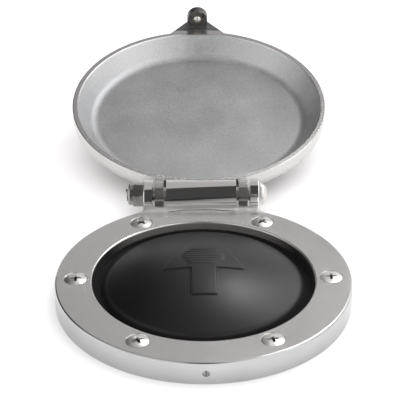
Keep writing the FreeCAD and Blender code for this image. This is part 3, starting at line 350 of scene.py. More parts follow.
class Finish(Nodes):
    """A procedural material under construction: one principled surface and the nodes that feed it."""

    def __init__(self, name, metallic, **uniform):
        self.material = bpy.data.materials.new(name)
        self.material.use_nodes = True
        super().__init__(self.material.node_tree)
        self.surface = self.nodes["Principled BSDF"]
        self.surface.inputs["Metallic"].default_value = metallic
        for socket, value in uniform.items():
            self.surface.inputs[socket.replace("_", " ").title().replace("Ior", "IOR")].default_value = value
        self.place = self.nodes.new("ShaderNodeTexCoord").outputs["Object"]

    def axes(self, place):
        """X, Y and Z of a place."""
        return self.put("ShaderNodeSeparateXYZ", Vector=place).outputs

    def distance(self, x, y):
        """Distance from the Z axis."""
        return self.math("SQRT", self.plus(self.math("POWER", x, 2.0), self.math("POWER", y, 2.0)))

    def rises(self, value, start, end):
        """A mask that goes from 0 to 1 between two lengths in millimetres."""
        return self.ramp(value, 0.0, 1.0, start * MM, end * MM)

    def falls(self, value, start, end):
        """A mask that goes from 1 to 0 between two lengths in millimetres."""
        return self.ramp(value, 1.0, 0.0, start * MM, end * MM)

    def noise(self, size, detail=3.0, stretch=(1, 1, 1)):
        """Noise whose patches are about size millimetres across."""
        spot = self.put("ShaderNodeMapping", Vector=self.place, Scale=stretch).outputs[0]
        return self.put("ShaderNodeTexNoise", Vector=spot, Scale=1 / (size * MM), Detail=detail).outputs[0]

    def tint(self, value, *colours):
        """Colours spread along a value from TINT_START to TINT_END."""
        node = self.put("ShaderNodeValToRGB", Fac=value)
        while len(node.color_ramp.elements) < len(colours):
            node.color_ramp.elements.new(0.5)
        for number, colour in enumerate(colours):
            element = node.color_ramp.elements[number]
            element.position = TINT_START + (TINT_END - TINT_START) * number / (len(colours) - 1)
            element.color = (*colour, 1)
        return node.outputs[0]

    def bump(self, height, depth, under=None):
        """A bump of the given depth in millimetres over another normal."""
        inputs = {"Height": height, "Distance": depth * MM}
        if under is not None:
            inputs["Normal"] = under
        return self.put("ShaderNodeBump", **inputs).outputs[0]

    def finish(self, colour, roughness, normal):
        """The material, with its colour, roughness and normal joined to the surface."""
        self.links.new(colour, self.surface.inputs["Base Color"])
        self.links.new(roughness, self.surface.inputs["Roughness"])
        self.links.new(normal, self.surface.inputs["Normal"])
        return self.material


def grey(value, warmth=0.0):
    """A grey a little warmer (or cooler) than neutral."""
    return (value * (1 + warmth), value, value * (1 - warmth))


def metal(name, dark, light, smooth, rough, grain=0.25, depth=0.002, smudge=9.0, streak=(1, 1, 1)):
    """Worked metal: smudged reflections, fine grain that may run in one direction, and a few dull marks."""
    finish = Finish(name, 1.0)
    cloud = finish.noise(smudge, 4.0)
    fine = finish.noise(grain, 5.0, stretch=streak)
    marks = finish.ramp(finish.noise(smudge / 4, 6.0), 0.0, 1.0, 0.58, 0.7)
    colour = finish.tint(finish.mixed(0.35, cloud, fine), dark, light)
    polish = finish.ramp(cloud, smooth, rough)
    roughness = finish.plus(polish, finish.times(marks, (rough - smooth) * 0.7))
    return finish.finish(colour, roughness, finish.bump(fine, depth))


def moulded(name, dark, light, smooth, rough, grain=0.5, depth=0.01, metallic=0.0, **uniform):
    """Moulded rubber or plastic: fine spark-eroded grain, slight colour drift and rubbed patches."""
    finish = Finish(name, metallic, **uniform)
    cloud = finish.noise(12.0, 4.0)
    fine = finish.noise(grain, 3.0)
    rubbed = finish.ramp(finish.noise(4.0, 6.0), 0.0, 1.0, 0.55, 0.75)
    colour = finish.tint(finish.mixed(0.5, cloud, rubbed), dark, light)
    roughness = finish.ramp(finish.mixed(0.4, cloud, fine), rough, smooth)
    return finish.finish(colour, roughness, finish.bump(fine, depth))


# Where the parts of the shut cover lie. A pair is the stretch over which a mask changes.
COVER_CENTRE_Y = 1.0
COVER_INSIDE_RADIUS = (46.75, 47.1)
COVER_FLOOR_Z = 16.7
COVER_BEND_RADIUS = 41.5
COVER_BEND_SLOPE = 0.84
COVER_FLOOR_BLEND = (-0.2, 0.2)
LATCH_Y = (-48.6, -48.3)
LATCH_PLATE_Z = (7.2, 7.8)
LATCH_TAB_Z = (7.8, 8.0)
LUG_Y = (49.8, 50.8)


def cover_finish():
    """Cover casting: blasted inside and on the latch plate, polished on the rim, lugs and outside; the catch
    tab and the latch plate are coloured darker with painted shade.
    """
    finish = Finish("cover_steel", 1.0)
    # The blasted area is found in the shut cover's own frame, so the coordinates turn back about the hinge.
    turn = Matrix.Rotation(COVER_TURN, 3, "X")
    shut = finish.put("ShaderNodeMapping", Vector=finish.place, Location=HINGE - turn @ HINGE,
                      Rotation=(COVER_TURN, 0, 0)).outputs[0]
    x, y, z = finish.axes(shut)
    radius = finish.distance(x, finish.minus(y, COVER_CENTRE_Y * MM))
    past_bend = finish.math("MAXIMUM", finish.minus(radius, COVER_BEND_RADIUS * MM), 0.0)
    roof = finish.minus(COVER_FLOOR_Z * MM, finish.times(past_bend, COVER_BEND_SLOPE))
    below = finish.rises(finish.minus(roof, z), *COVER_FLOOR_BLEND)
    in_dish = finish.times(finish.falls(radius, *COVER_INSIDE_RADIUS), below)
    at_latch = finish.falls(y, *LATCH_Y)
    on_latch = finish.times(at_latch, finish.rises(z, *LATCH_PLATE_Z))
    blasted = finish.math("MAXIMUM", in_dish, on_latch)
    lugs = finish.rises(y, *LUG_Y)
    tab = finish.times(at_latch, finish.falls(z, *LATCH_TAB_Z))
    cloud = finish.noise(14.0, 4.0)
    speck = finish.noise(0.7, 5.0)
    pits = finish.noise(1.5, 6.0)
    blasted_colour = finish.tint(finish.mixed(0.6, cloud, speck), grey(0.42, -0.012), grey(0.63, -0.01))
    polished_colour = finish.mixed(lugs, finish.tint(cloud, grey(0.57, 0.01), grey(0.60, 0.01)),
                                   finish.tint(speck, grey(0.50, 0.01), grey(0.62, 0.01)))
    # Painted shade: the catch tab is coloured much darker steel than the rest of the cover.
    painted_shade_tab_colour = finish.tint(pits, grey(0.07, 0.03), grey(0.22, 0.02))
    polished_colour = finish.mixed(tab, polished_colour, painted_shade_tab_colour)
    # Painted shade: the latch plate is coloured darker grey than the blasted dish.
    blasted_colour = finish.mixed(on_latch, blasted_colour, finish.tint(pits, grey(0.16), grey(0.28)))
    colour = finish.mixed(blasted, polished_colour, blasted_colour)
    blasted_rough = finish.ramp(finish.mixed(0.5, cloud, speck), 0.44, 0.58)
    polished_rough = finish.minus(finish.ramp(cloud, 0.25, 0.28), finish.times(lugs, 0.07))
    polished_rough = finish.plus(polished_rough, finish.times(tab, 0.16))
    roughness = finish.mixed(blasted, polished_rough, blasted_rough)
    grain = finish.times(finish.plus(speck, pits), blasted)
    return finish.finish(colour, roughness, finish.bump(grain, 0.04))


# Where the parts of the ring lie. A pair is the stretch over which a mask changes.
OPENING_RADIUS = (37.52, 37.62)
SIDE_SHADE_RADIUS = (49.5, 49.95)
PLATE_Y = (42.0, 46.0)
WALL_SHADE_Y = (18.0, 33.0)
GROOVE_RADIUS = (47.4, 47.6)
GROOVE_Z = (7.8, 7.98)
BARREL_Z = (8.1, 8.8)
BARREL_MIDDLE_Z = 11.5
BARREL_TWIST = 12.6


def ring_finish():
    """Ring casting: fine satin polish on the flat top and side, brighter barrel, rough cast wall inside;
    painted light on the plate behind the opening, and painted shade on the side, in the groove and on the
    inside wall.
    """
    finish = Finish("ring_steel", 1.0)
    x, y, z = finish.axes(finish.place)
    radius = finish.distance(x, y)
    cloud = finish.noise(16.0, 5.0)
    fine = finish.noise(0.22, 4.0)
    lines = finish.noise(0.5, 3.0, stretch=(0.06, 1.4, 1.0))
    opening = finish.falls(radius, *OPENING_RADIUS)
    barrel = finish.rises(z, *BARREL_Z)
    behind = finish.rises(y, *PLATE_Y)
    groove = finish.times(behind, finish.falls(z, *GROOVE_Z))
    groove = finish.times(groove, finish.falls(radius, *GROOVE_RADIUS))
    side = finish.times(finish.rises(radius, *SIDE_SHADE_RADIUS), finish.minus(1.0, behind))
    # Painted shade on the wall inside the opening: nearly black in front, shading to lighter grey at the
    # rear.
    painted_shade_wall_colour = finish.mixed(finish.rises(y, *WALL_SHADE_Y), finish.tint(fine, grey(0.05), grey(0.09)),
                               finish.tint(fine, grey(0.30, 0.04), grey(0.58, 0.03)))
    # Painted light: the plate behind the opening, by the hinge, is coloured lighter steel than the rest of
    # the top.
    painted_light_plate_colour = finish.tint(fine, grey(0.80, 0.014), grey(0.86, 0.012))
    colour = finish.tint(finish.mixed(0.3, cloud, fine), grey(0.575, 0.014), grey(0.635, 0.012))
    colour = finish.mixed(behind, colour, painted_light_plate_colour)
    # Painted shade: the groove below the top face behind the opening is coloured dark.
    colour = finish.mixed(groove, colour, finish.tint(fine, grey(0.10), grey(0.22)))
    # Painted shade: the outer side of the ring is coloured darker steel than the top.
    colour = finish.mixed(side, colour, finish.tint(cloud, grey(0.45, -0.01), grey(0.51, -0.01)))
    colour = finish.mixed(opening, colour, painted_shade_wall_colour)
    satin = finish.ramp(finish.mixed(0.4, cloud, lines), 0.16, 0.22)
    satin = finish.plus(satin, finish.times(behind, 0.2))
    roughness = finish.mixed(barrel, satin, finish.ramp(cloud, 0.035, 0.07))
    roughness = finish.mixed(opening, roughness, finish.ramp(fine, 0.55, 0.75))
    relief = finish.times(finish.minus(1.0, barrel), finish.mixed(opening, lines, fine))
    # Hand polishing left the barrel's face slightly twisted from one end to the other.
    twist = finish.times(finish.times(x, finish.minus(z, BARREL_MIDDLE_Z * MM)), barrel)
    twisted = finish.put("ShaderNodeBump", Height=twist, Distance=BARREL_TWIST).outputs[0]
    return finish.finish(colour, roughness, finish.bump(relief, 0.0008, twisted))


RECESS_DARK_Z = (7.72, 7.95)


def deck_screw_finish():
    """Screw heads: satin steel, coloured dark in the recess and round the edge of the head."""
    finish = Finish("deck_screw_steel", 1.0)
    height = finish.axes(finish.place)[2]
    cloud = finish.noise(5.0, 4.0)
    fine = finish.noise(0.25, 5.0)
    upper_head = finish.rises(height, *RECESS_DARK_Z)
    steel = finish.tint(finish.mixed(0.35, cloud, fine), grey(0.62, 0.02), grey(0.76, 0.02))
    # Below the head's edge and down in the recess the colour is dark.
    colour = finish.mixed(upper_head, finish.tint(fine, grey(0.03), grey(0.10)), steel)
    roughness = finish.ramp(finish.mixed(0.4, cloud, fine), 0.30, 0.42)
    return finish.finish(colour, roughness, finish.bump(fine, 0.0015))


MOAT_SHADE_RADIUS = (32.6, 33.6)


def rubber_finish():
    """Black rubber with a soft sheen, a fine moulded grain and a little dust in the grain."""
    finish = Finish("button_rubber", 0.0, specular_ior_level=0.42)
    cloud = finish.noise(18.0, 4.0)
    grain = finish.noise(0.3, 3.0)
    dust = finish.ramp(finish.noise(0.8, 8.0), 0.0, 1.0, 0.62, 0.8)
    colour = finish.tint(finish.mixed(0.4, cloud, dust), grey(0.002, 0.03), grey(0.006, 0.03))
    roughness = finish.ramp(finish.mixed(0.5, cloud, grain), 0.30, 0.39)
    x, y, z = finish.axes(finish.place)
    groove = finish.rises(finish.distance(x, y), *MOAT_SHADE_RADIUS)
    roughness = finish.mixed(groove, roughness, 0.9)
    return finish.finish(colour, roughness, finish.bump(grain, 0.006))


def all_finishes():
    """Every material slot of the record with its finish."""
    return {
        "ring_steel": ring_finish(),
        "cover_steel": cover_finish(),
        "screw_steel": metal("screw_steel", grey(0.52, 0.03), grey(0.66, 0.03), 0.2, 0.32),
        "spring_steel": metal("spring_steel", grey(0.38), grey(0.55), 0.18, 0.32, streak=(1, 1, 0.2)),
        "silver": metal("silver", (0.70, 0.69, 0.66), (0.86, 0.85, 0.82), 0.2, 0.34, grain=0.4),
        "brass": metal("brass", (0.58, 0.42, 0.18), (0.78, 0.60, 0.30), 0.16, 0.3),
        "copper": metal("copper", (0.55, 0.24, 0.13), (0.80, 0.42, 0.27), 0.2, 0.38, streak=(0.2, 1, 1)),
        "button_rubber": rubber_finish(),
        "seal_rubber": moulded("seal_rubber", grey(0.012), grey(0.03), 0.5, 0.7, 0.4, 0.01),
        "housing_plastic": moulded("housing_plastic", grey(0.018), grey(0.032), 0.34, 0.52, 0.6, 0.015),
        "plunger_plastic": moulded("plunger_plastic", (0.35, 0.34, 0.31), (0.52, 0.51, 0.47), 0.35, 0.5),
        "insert_plastic": moulded("insert_plastic", (0.45, 0.47, 0.48), (0.66, 0.68, 0.68), 0.3, 0.45),
    }


SLOT_OF_NODE = {
    "base_ring": "ring_steel",
    "cover": "cover_steel",
    "switch_body": "housing_plastic",
    "bottom_cover": "housing_plastic",
    "deck_seal": "seal_rubber",
    "bottom_seal": "seal_rubber",
    "plunger": "plunger_plastic",
    "nut_insert": "insert_plastic",
    "body_screws": "screw_steel",
    "bottom_screws": "screw_steel",
    "hinge_nut": "screw_steel",
    "housing_washers": "screw_steel",
    "jam_nuts": "brass",
    "lug_washers": "screw_steel",
    "lug_nuts": "brass",
    "spring_washers": "spring_steel",
    "retaining_clip": "spring_steel",
    "fixed_contacts": "silver",
    "bar_contacts": "silver",
    "contact_bar": "copper",
    "catch_sleeve": "brass",
    "catch_ball": "screw_steel",
}

FINISHES = all_finishes()
DULL_NODES = {
    "catch_sleeve": metal("aged_brass", (0.16, 0.13, 0.09), (0.30, 0.25, 0.17), 0.3, 0.45),
    "hinge_nut": metal("dull_steel", grey(0.28, 0.02), grey(0.46, 0.02), 0.2, 0.34, grain=0.5, depth=0.01),
}


def dress_cad_nodes():
    """Give every CAD node that stays its finish."""
    for node, slot in SLOT_OF_NODE.items():
        piece = frame["nodes"][node]
        piece.data.materials.clear()
        piece.data.materials.append(DULL_NODES.get(node, FINISHES[slot]))


# ---------------------------------------------------------------- rubber button

DOME_LOW, DOME_HIGH = (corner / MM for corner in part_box("diaphragm"))
DOME_TOP = DOME_HIGH.z
BEAD_RADIUS = DOME_HIGH.x
BEAD_LOW = DOME_LOW.z
BEAD_TOP = BEAD_LOW + 1.9
DOME_SPHERE = 90.0
DOME_WALL = 2.5
DOME_EDGE = 32.2
CAP_RADIUS = 31.0
MOAT_FLOOR = 4.0
MOAT_INNER = 35.2
MOAT_OUTER = 36.6
RUBBER_SEGMENTS = 240

ARROW = [(-4.25, -16.0), (4.25, -16.0), (4.25, -1.5), (13.9, -1.5), (0.2, 30.0), (-13.9, -1.5), (-4.25, -1.5)]
ARROW_HEIGHT = 0.42
GRIP_CENTRE = (0.2, 6.2)
GRIP_RADIUS = 6.4
GRIP_PITCH = 1.6
GRIP_HALF = 0.32
GRIP_HEIGHT = 0.16
GRIP_NUMBERS = range(-3, 4)
EDGE_WIDTH = 0.2

ARROW_OFFSETS = (-0.45, -EDGE_WIDTH, -0.07, 0.07, EDGE_WIDTH, 0.45)
GRIP_OFFSETS = (-0.14, 0.0, EDGE_WIDTH)
OUTLINE_SPACING = 0.7
CROWN_SPACING = 1.1
CROWN_ROW_SHARE = 0.87
CROWN_EDGE_MARGIN = 0.8
CROWN_LOOP_MARGIN = 0.6
SHOULDER_STEPS = 3
UNDERSIDE_RADII = (32.4, 30, 27, 24, 20, 16, 12, 8, 4, 0)


def crown_height(radius, sphere=DOME_SPHERE):
    """Height of the crown's sphere at a distance from the axis."""
    return DOME_TOP - DOME_SPHERE + math.sqrt(sphere * sphere - radius * radius)


def distance_to_segment(x, y, start, end):
    """Distance from a point in the plane to the nearest point of a segment."""
    ax, ay = start
    bx, by = end
    along = ((x - ax) * (bx - ax) + (y - ay) * (by - ay)) / max((bx - ax) ** 2 + (by - ay) ** 2, 1e-9)
    along = min(1.0, max(0.0, along))
    return math.hypot(x - ax - along * (bx - ax), y - ay - along * (by - ay))


def raised(distance, height):
    """A step up of the given height, where distance goes from outside (positive) to inside."""
    share = min(1.0, max(0.0, (EDGE_WIDTH - distance) / (2 * EDGE_WIDTH)))
    return height * share * share * (3 - 2 * share)


def grip_ribs():
    """Straight ribs that fill a round patch of the arrow's head, as pairs of end points."""
    ribs = []
    for number in GRIP_NUMBERS:
        offset = number * GRIP_PITCH
        half = math.sqrt(GRIP_RADIUS * GRIP_RADIUS - offset * offset)
        y = GRIP_CENTRE[1] + offset
        ribs.append(((GRIP_CENTRE[0] - half, y), (GRIP_CENTRE[0] + half, y)))
    return ribs


def relief(x, y, ribs):
    """Height of the moulded arrow and its grip ribs above the crown."""
    edges = zip(ARROW, ARROW[1:] + ARROW[:1])
    distance = min(distance_to_segment(x, y, start, end) for start, end in edges)
    if inside((x, y), ARROW):
        distance = -distance
    height = raised(distance, ARROW_HEIGHT)
    rib = min(distance_to_segment(x, y, start, end) for start, end in ribs) - GRIP_HALF
    return height + raised(rib, GRIP_HEIGHT)


def capsule(start, end, radius):
    """A closed outline round a segment, with half-round ends."""
    across = [(math.cos(math.radians(a)), math.sin(math.radians(a))) for a in range(-90, 91, 30)]
    right = [(end[0] + radius * c, end[1] + radius * s) for c, s in across]
    left = [(start[0] - radius * c, start[1] - radius * s) for c, s in across]
    return right + left


def dome_cap():
    """The crown inside CAP_RADIUS with the arrow, as triangles that follow every moulded edge."""
    ribs = grip_ribs()
    loops = [circle(CAP_RADIUS, RUBBER_SEGMENTS)]
    loops.extend(spread_points(offset_outline(ARROW, offset), OUTLINE_SPACING) for offset in ARROW_OFFSETS)
    for start, end in ribs:
        loops.extend(spread_points(capsule(start, end, GRIP_HALF + offset), OUTLINE_SPACING)
                     for offset in GRIP_OFFSETS)
    count = int(CAP_RADIUS / CROWN_SPACING)
    taken = [Vector(point) for loop in loops for point in loop]
    loose = []
    for row in range(-count, count + 1):
        for column in range(-count, count + 1):
            spot = Vector(((column + 0.5 * (row % 2)) * CROWN_SPACING, row * CROWN_SPACING * CROWN_ROW_SHARE))
            if spot.length >= CAP_RADIUS - CROWN_EDGE_MARGIN:
                continue
            if all((spot - other).length > CROWN_LOOP_MARGIN for other in taken):
                loose.append(spot)
    flat, faces = triangulate(loops, loose)
    points = [(p.x, p.y, crown_height(p.length) + relief(p.x, p.y, ribs)) for p in flat]
    return Shape().add(points, faces)


def rubber_button():
    """Crown, rounded shoulder, rolling groove and the bead that the ring traps."""
    edge_z = crown_height(DOME_EDGE)
    shoulder_step = (DOME_EDGE - CAP_RADIUS) / SHOULDER_STEPS
    shoulder_radii = [CAP_RADIUS + shoulder_step * step for step in range(SHOULDER_STEPS + 1)]
    shoulder = [(radius, crown_height(radius)) for radius in shoulder_radii]
    outside = shoulder + [
        (DOME_EDGE + 0.7, edge_z - 0.42),
        (DOME_EDGE + 1.25, edge_z - 0.95),
        (DOME_EDGE + 1.6, edge_z - 1.6),
        (DOME_EDGE + 1.9, edge_z - 2.3),
        (MOAT_INNER - 0.7, MOAT_FLOOR + 0.25),
        (MOAT_INNER - 0.3, MOAT_FLOOR + 0.05),
        (MOAT_INNER, MOAT_FLOOR),
        (MOAT_OUTER, MOAT_FLOOR),
        (MOAT_OUTER + 0.2, MOAT_FLOOR + 0.1),
        (MOAT_OUTER + 0.45, BEAD_TOP - 0.1),
        (MOAT_OUTER + 0.7, BEAD_TOP),
        (BEAD_RADIUS - 0.3, BEAD_TOP),
        (BEAD_RADIUS, BEAD_TOP - 0.3),
        (BEAD_RADIUS, BEAD_LOW + 0.3),
        (BEAD_RADIUS - 0.3, BEAD_LOW),
        (DOME_EDGE + 0.5, BEAD_LOW),
    ]
    inner_sphere = DOME_SPHERE - DOME_WALL
    underside = [(UNDERSIDE_RADII[0], BEAD_LOW + 0.3)]
    underside += [(radius, crown_height(radius, inner_sphere)) for radius in UNDERSIDE_RADII]
    shape = dome_cap().add(*lathe(outside + underside, RUBBER_SEGMENTS))
    piece = make_piece("rubber_button", shape, FINISHES["button_rubber"], "diaphragm")
    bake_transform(piece)


# ---------------------------------------------------------------- fasteners

SCREW_CIRCLE = 43.0
SCREW_ANGLES = (0, 60, 120, 180, 240, 300)
CROSS_TURNS = (0, 45, 45, 0, 25, 10)
HEAD_RADIUS = 3.75
HEAD_EDGE_Z = 7.9
HEAD_SPHERE = 12.0
HEAD_RIM = 0.15
SCREW_SIDES = 48
RECESS_DEPTH = 1.9
RECESS_TOP = (2.0, 0.42)
RECESS_FLOOR = (0.75, 0.22)
SCREW_RADIUS = 2.0
SCREW_NECK_RADIUS = 1.9
SCREW_NECK_Z = (5.9, 0.2)
SCREW_POINT_LENGTH = 3.0
SCREW_POINT_RADIUS = 0.02
SCREW_PITCH = 1.4
SCREW_THREAD_DEPTH = 0.42
SCREW_SPACING = 0.14


def cross_outline(reach, half):
    """A cross-shaped outline, listed anticlockwise."""
    arm = [(reach, -half), (reach, half), (half * 1.25, half * 1.25)]
    turned = []
    for quarter in range(4):
        spin = Matrix.Rotation(quarter * math.pi / 2, 2)
        turned.extend(tuple(spin @ Vector(point)) for point in arm)
    return turned


def deck_screw():
    """Raised countersunk screw with a cross recess and a coarse self-cutting thread."""
    rise = HEAD_SPHERE - math.sqrt(HEAD_SPHERE ** 2 - HEAD_RADIUS ** 2)

    def crown(radius):
        return HEAD_EDGE_Z + rise - HEAD_SPHERE + math.sqrt(HEAD_SPHERE ** 2 - radius ** 2)

    shape = driven_cap(HEAD_RADIUS, SCREW_SIDES, cross_outline(*RECESS_TOP), cross_outline(*RECESS_FLOOR),
                       RECESS_DEPTH, crown)
    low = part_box("deck_screws")[0].z / MM
    point_top = low + SCREW_POINT_LENGTH
    profile = [(HEAD_RADIUS, HEAD_EDGE_Z), (HEAD_RADIUS, HEAD_EDGE_Z - HEAD_RIM)]
    profile += [(SCREW_NECK_RADIUS, z) for z in SCREW_NECK_Z]
    profile += [(SCREW_RADIUS, z) for z in heights(0.0, point_top, SCREW_SPACING)]
    profile += [(max(SCREW_POINT_RADIUS, SCREW_RADIUS * (z - low) / SCREW_POINT_LENGTH), z)
                for z in heights(point_top - SCREW_SPACING, low, SCREW_SPACING)]
    profile.append((0.0, low))
    cut = thread(SCREW_PITCH, SCREW_THREAD_DEPTH, low, 0.0)
    return shape.add(*lathe(profile, SCREW_SIDES, cut))


def deck_screws():
    """Six screws on their circle, each stopped at its own turn of the cross."""
    screw = deck_screw()
    shape = Shape()
    for angle, cross_turn in zip(SCREW_ANGLES, CROSS_TURNS):
        around = math.radians(angle)
        spot = Vector((SCREW_CIRCLE * math.cos(around), SCREW_CIRCLE * math.sin(around), 0))
        shape.join(screw.moved(Matrix.Translation(spot) @ Matrix.Rotation(math.radians(cross_turn), 4, "Z")))
    piece = make_piece("deck_screw_set", shape, deck_screw_finish(), "deck_screws")
    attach(piece, "base")


BOLT_RADIUS = 2.5
BOLT_HEAD_HEIGHT = 2.9
BOLT_HEAD_ROUNDING = 2.3
BOLT_SOCKET_RADIUS = 1.4
BOLT_SOCKET_DEPTH = 1.4
BOLT_SOCKET_TAPER = 0.98
BOLT_END_RADIUS = 2.15
BOLT_THREADED = 14.0
BOLT_PITCH = 0.8
BOLT_THREAD_DEPTH = 0.4


def hinge_bolt():
    """Bolt with a low domed head, a hexagon socket in it, and a thread at the nut's end."""
    low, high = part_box("hinge_bolt")
    start, end = low.x / MM, high.x / MM
    head_radius = (high.z - low.z) / 2 / MM
    flat = head_radius - BOLT_HEAD_ROUNDING
    head_low = end - BOLT_HEAD_HEIGHT
    threaded = start + BOLT_THREADED
    socket = circle(BOLT_SOCKET_RADIUS, 6)
    socket_floor = [(x * BOLT_SOCKET_TAPER, y * BOLT_SOCKET_TAPER) for x, y in socket]
    shape = driven_cap(flat, SCREW_SIDES, socket, socket_floor, BOLT_SOCKET_DEPTH, lambda radius: end)
    profile = bend((flat, end - BOLT_HEAD_ROUNDING), BOLT_HEAD_ROUNDING, 90, 0, 10)
    profile += [(head_radius, head_low), (BOLT_RADIUS, head_low), (BOLT_RADIUS, threaded)]
    profile += [(BOLT_RADIUS, z) for z in heights(threaded - 0.1, start + 0.4, 0.1)]
    profile += [(BOLT_END_RADIUS, start), (0.0, start)]
    cut = thread(BOLT_PITCH, BOLT_THREAD_DEPTH, start + 0.05, threaded - 0.5)
    shape.add(*lathe(profile, SCREW_SIDES, cut))
    along_x = Matrix.Translation((0, HINGE_MM.y, HINGE_MM.z)) @ Matrix.Rotation(math.pi / 2, 4, "Y")
    piece = make_piece("hinge_bolt_threaded", shape.moved(along_x), FINISHES["screw_steel"],
                       "hinge_bolt")
    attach(piece, "base")


STUD_RADIUS = 3.0
STUD_HEAD_HEIGHT = 3.0
STUD_HEAD_CHAMFER = 0.4
STUD_END_RADIUS = 2.5
STUD_PITCH = 1.0
STUD_THREAD_DEPTH = 0.5
STUD_SPACING = 0.125
STUD_SIDES = 40


def terminal_stud(side):
    """Brass stud with a round head inside the housing and a full thread below it."""
    node = "terminal_stud_" + side
    low, high = (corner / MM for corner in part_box(node))
    head_radius = (high.x - low.x) / 2
    middle = (high.x + low.x) / 2
    head_z = high.z - STUD_HEAD_HEIGHT
    profile = [(0.0, high.z), (head_radius - STUD_HEAD_CHAMFER, high.z)]
    profile += [(head_radius, high.z - STUD_HEAD_CHAMFER), (head_radius, head_z)]
    profile += [(STUD_RADIUS, head_z), (STUD_RADIUS, head_z - 1)]
    profile += [(STUD_RADIUS, z) for z in heights(head_z - 1.1, low.z + 0.5, STUD_SPACING)]
    profile += [(STUD_END_RADIUS, low.z), (0.0, low.z)]
    cut = thread(STUD_PITCH, STUD_THREAD_DEPTH, low.z + 0.1, head_z - 1)
    shape = Shape().add(*lathe(profile, STUD_SIDES, cut))
    piece = make_piece(node + "_threaded", shape.moved(Matrix.Translation((middle, 0, 0))),
                       FINISHES["brass"], node)
    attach(piece, "base")


# ---------------------------------------------------------------- springs

CATCH_COIL_RADIUS = 1.45
CATCH_COIL_WIRE = 0.3
CATCH_COIL_TURNS = 3.0
CATCH_COIL_LENGTH = 1.15


def upright_spring(node, body, radius, wire, turns, anchor):
    """A coil round Z, attached to its body in place of the CAD spring."""
    low, high = (corner.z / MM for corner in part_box(node))
    shape = coil(radius, wire, turns, low, high)
    piece = make_piece(node + "_coil", shape, FINISHES["spring_steel"], node)
    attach(piece, body)
    anchor(low, high) * MM
    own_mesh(piece)


def catch_spring():
    """Small coil behind the catch ball, along the latch's own axis."""
    low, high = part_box("catch_spring")
    axis = Vector(JOINTS["catch_press"]["axis"]).normalized()
    middle = (low + high) / 2 / MM
    towards = axis.to_track_quat("Z", "Y").to_matrix().to_4x4()
    half = CATCH_COIL_LENGTH / 2
    shape = coil(CATCH_COIL_RADIUS, CATCH_COIL_WIRE, CATCH_COIL_TURNS, -half, half, sides=10, per_turn=24)
    placed = shape.moved(Matrix.Translation(middle) @ towards)
    piece = make_piece("catch_spring_coil", placed, FINISHES["spring_steel"], "catch_spring")
    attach(piece, "cover")
    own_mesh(piece)


# ---------------------------------------------------------------- stage, light and camera

# Brightness of the surroundings, and the directions (parts of a unit vector) between which they change.
AMBIENT = 1.45
FRONT_LEVEL = 0.06
FRONT_RIGHT = 1.25
FRONT_LEFT = 0.95
REAR_LOW = 0.92
REAR_HIGH = 0.48
FLAG_LEVEL = 0.05
FRONT_RIGHT_X = (0.06, 0.32)
FRONT_LEFT_X = (-0.06, -0.32)
FLAG_X = (-0.05, -0.24)
FLAG_Y = (0.1, 0.5)
FLAG_Z = (0.12, 0.26)
REAR_Z = (0.0, 0.8)
FRONT_TO_REAR_Y = (-0.16, 0.02)
STUDIO_TINT = (1.0, 0.985, 0.985, 1)


def emission_world():
    """Studio surroundings: bright behind and on both sides, dark in front and in a flag at the rear left."""
    world = bpy.data.worlds.new("studio")
    bpy.context.scene.world = world
    world.use_nodes = True
    studio = Nodes(world.node_tree)
    direction = studio.put("ShaderNodeTexCoord").outputs["Generated"]
    x, y, z = studio.put("ShaderNodeSeparateXYZ", Vector=direction).outputs
    front = studio.plus(studio.ramp(x, FRONT_LEVEL, FRONT_RIGHT, *FRONT_RIGHT_X),
                        studio.ramp(x, 0.0, FRONT_LEFT, *FRONT_LEFT_X))
    flag = studio.times(studio.ramp(x, 0.0, 1.0, *FLAG_X), studio.ramp(y, 0.0, 1.0, *FLAG_Y))
    flag = studio.times(flag, studio.ramp(z, 0.0, 1.0, *FLAG_Z))
    rear = studio.mixed(flag, studio.ramp(z, REAR_LOW, REAR_HIGH, *REAR_Z), FLAG_LEVEL)
    reflected = studio.mixed(studio.ramp(y, 0.0, 1.0, *FRONT_TO_REAR_Y), front, rear)
    rays = studio.put("ShaderNodeLightPath").outputs
    strength = studio.mixed(rays["Is Diffuse Ray"], reflected, AMBIENT)
    background = studio.nodes["Background"]
    background.inputs["Color"].default_value = STUDIO_TINT
    studio.links.new(studio.mixed(rays["Is Camera Ray"], strength, 1.0), background.inputs["Strength"])


def softbox(name, azimuth, elevation, distance, width, height, power, glossy=True, spread=180, aim=0.55):
    """A rectangular light round the ring, aimed along Y in ring radii. Azimuth runs from +Y towards +X."""
    light = bpy.data.lights.new(name, "AREA")
    light.shape = "RECTANGLE"
    light.size = width * RING_RADIUS
    light.size_y = height * RING_RADIUS
    light.energy = power
    light.spread = math.radians(spread)
    lamp = bpy.data.objects.new(name, light)
    bpy.context.scene.collection.objects.link(lamp)
    around, up = math.radians(azimuth), math.radians(elevation)
    away = Vector((math.sin(around) * math.cos(up), math.cos(around) * math.cos(up), math.sin(up)))
    target = Vector((0, aim * RING_RADIUS, 0))
    lamp.location = target + away * distance * RING_RADIUS
    lamp.rotation_euler = away.to_track_quat("Z", "Y").to_euler()
    lamp.visible_glossy = glossy
    lamp.visible_camera = False


def studio_lights():
    """Soft light from above and both sides, and a narrow beam for the sheen on the rubber."""
    softbox("overhead", 0, 88, 14, 16, 16, 0.3, glossy=False)
    softbox("key", 52, 42, 12, 9, 8, 1.05)
    softbox("sheen", 18, 47, 12, 2.2, 2.2, 0.0048, spread=12, aim=-0.5)
    softbox("side_fill", 110, 35, 12, 8, 8, 0.35)
    softbox("left_fill", -100, 30, 14, 6, 8, 0.2)


FLOOR_REACH = 60.0
FLOOR_GAP = 0.5
FLOOR_LAP = 3.0


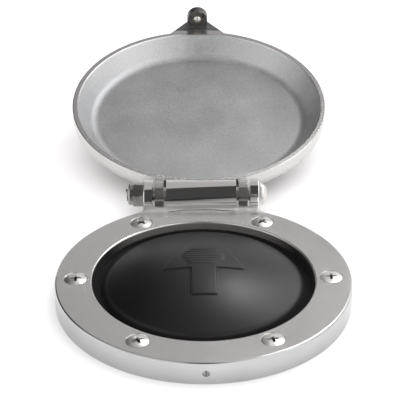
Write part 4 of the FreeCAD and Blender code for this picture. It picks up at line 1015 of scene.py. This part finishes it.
def studio_floor():
    """Pale floor at deck level with the round cut-out that the switch body drops through."""
    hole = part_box("switch_body")[1].x + FLOOR_GAP * MM
    hole = min(hole, RING_RADIUS - FLOOR_LAP * MM)
    points, faces = lathe([(hole / MM, 0.0), (RING_RADIUS / MM * FLOOR_REACH, 0.0)], 96)
    mesh = bpy.data.meshes.new("studio_floor")
    mesh.from_pydata([tuple(c * MM for c in point) for point in points], [], [face[::-1] for face in faces])
    floor = bpy.data.objects.new("studio_floor", mesh)
    bpy.context.scene.collection.objects.link(floor)
    finish = Finish("studio_floor", 0.0)
    paper = finish.noise(30.0, 3.0)
    mesh.materials.append(finish.finish(finish.tint(paper, grey(0.83), grey(0.85)),
                                        finish.ramp(paper, 0.8, 0.9), finish.bump(paper, 0.01)))


CAMERA_LENS = 150.9
CAMERA_AZIMUTH = -0.83
CAMERA_ELEVATION = 29.33
CAMERA_DISTANCE = 12.13
CAMERA_AIM = Vector((-0.47, -5.4, 0.52))


def camera():
    """Camera in front of the ring, looking down at the hinge."""
    data = bpy.data.cameras.new("camera")
    data.lens = CAMERA_LENS
    data.sensor_width = 36.0
    data.clip_start = 0.05
    data.clip_end = 20.0
    eye = bpy.data.objects.new("camera", data)
    bpy.context.scene.collection.objects.link(eye)
    around, up = math.radians(CAMERA_AZIMUTH), math.radians(CAMERA_ELEVATION)
    back = Vector((math.sin(around) * math.cos(up), -math.cos(around) * math.cos(up), math.sin(up)))
    target = HINGE + CAMERA_AIM * MM
    eye.location = target + back * CAMERA_DISTANCE * RING_RADIUS
    eye.rotation_euler = back.to_track_quat("Z", "Y").to_euler()
    bpy.context.scene.camera = eye


# ---------------------------------------------------------------- the scene

camera()
studio_floor()
emission_world()
studio_lights()
bpy.context.scene.view_settings.view_transform = "Standard"

dress_cad_nodes()
rubber_button()
deck_screws()
hinge_bolt()
terminal_stud("left")
terminal_stud("right")
upright_spring("return_spring", "base", 12.0, 1.5, 4.5, lambda low, high: low)
upright_spring("contact_spring", "button", 3.9, 0.7, 3.0, lambda low, high: high)
catch_spring()
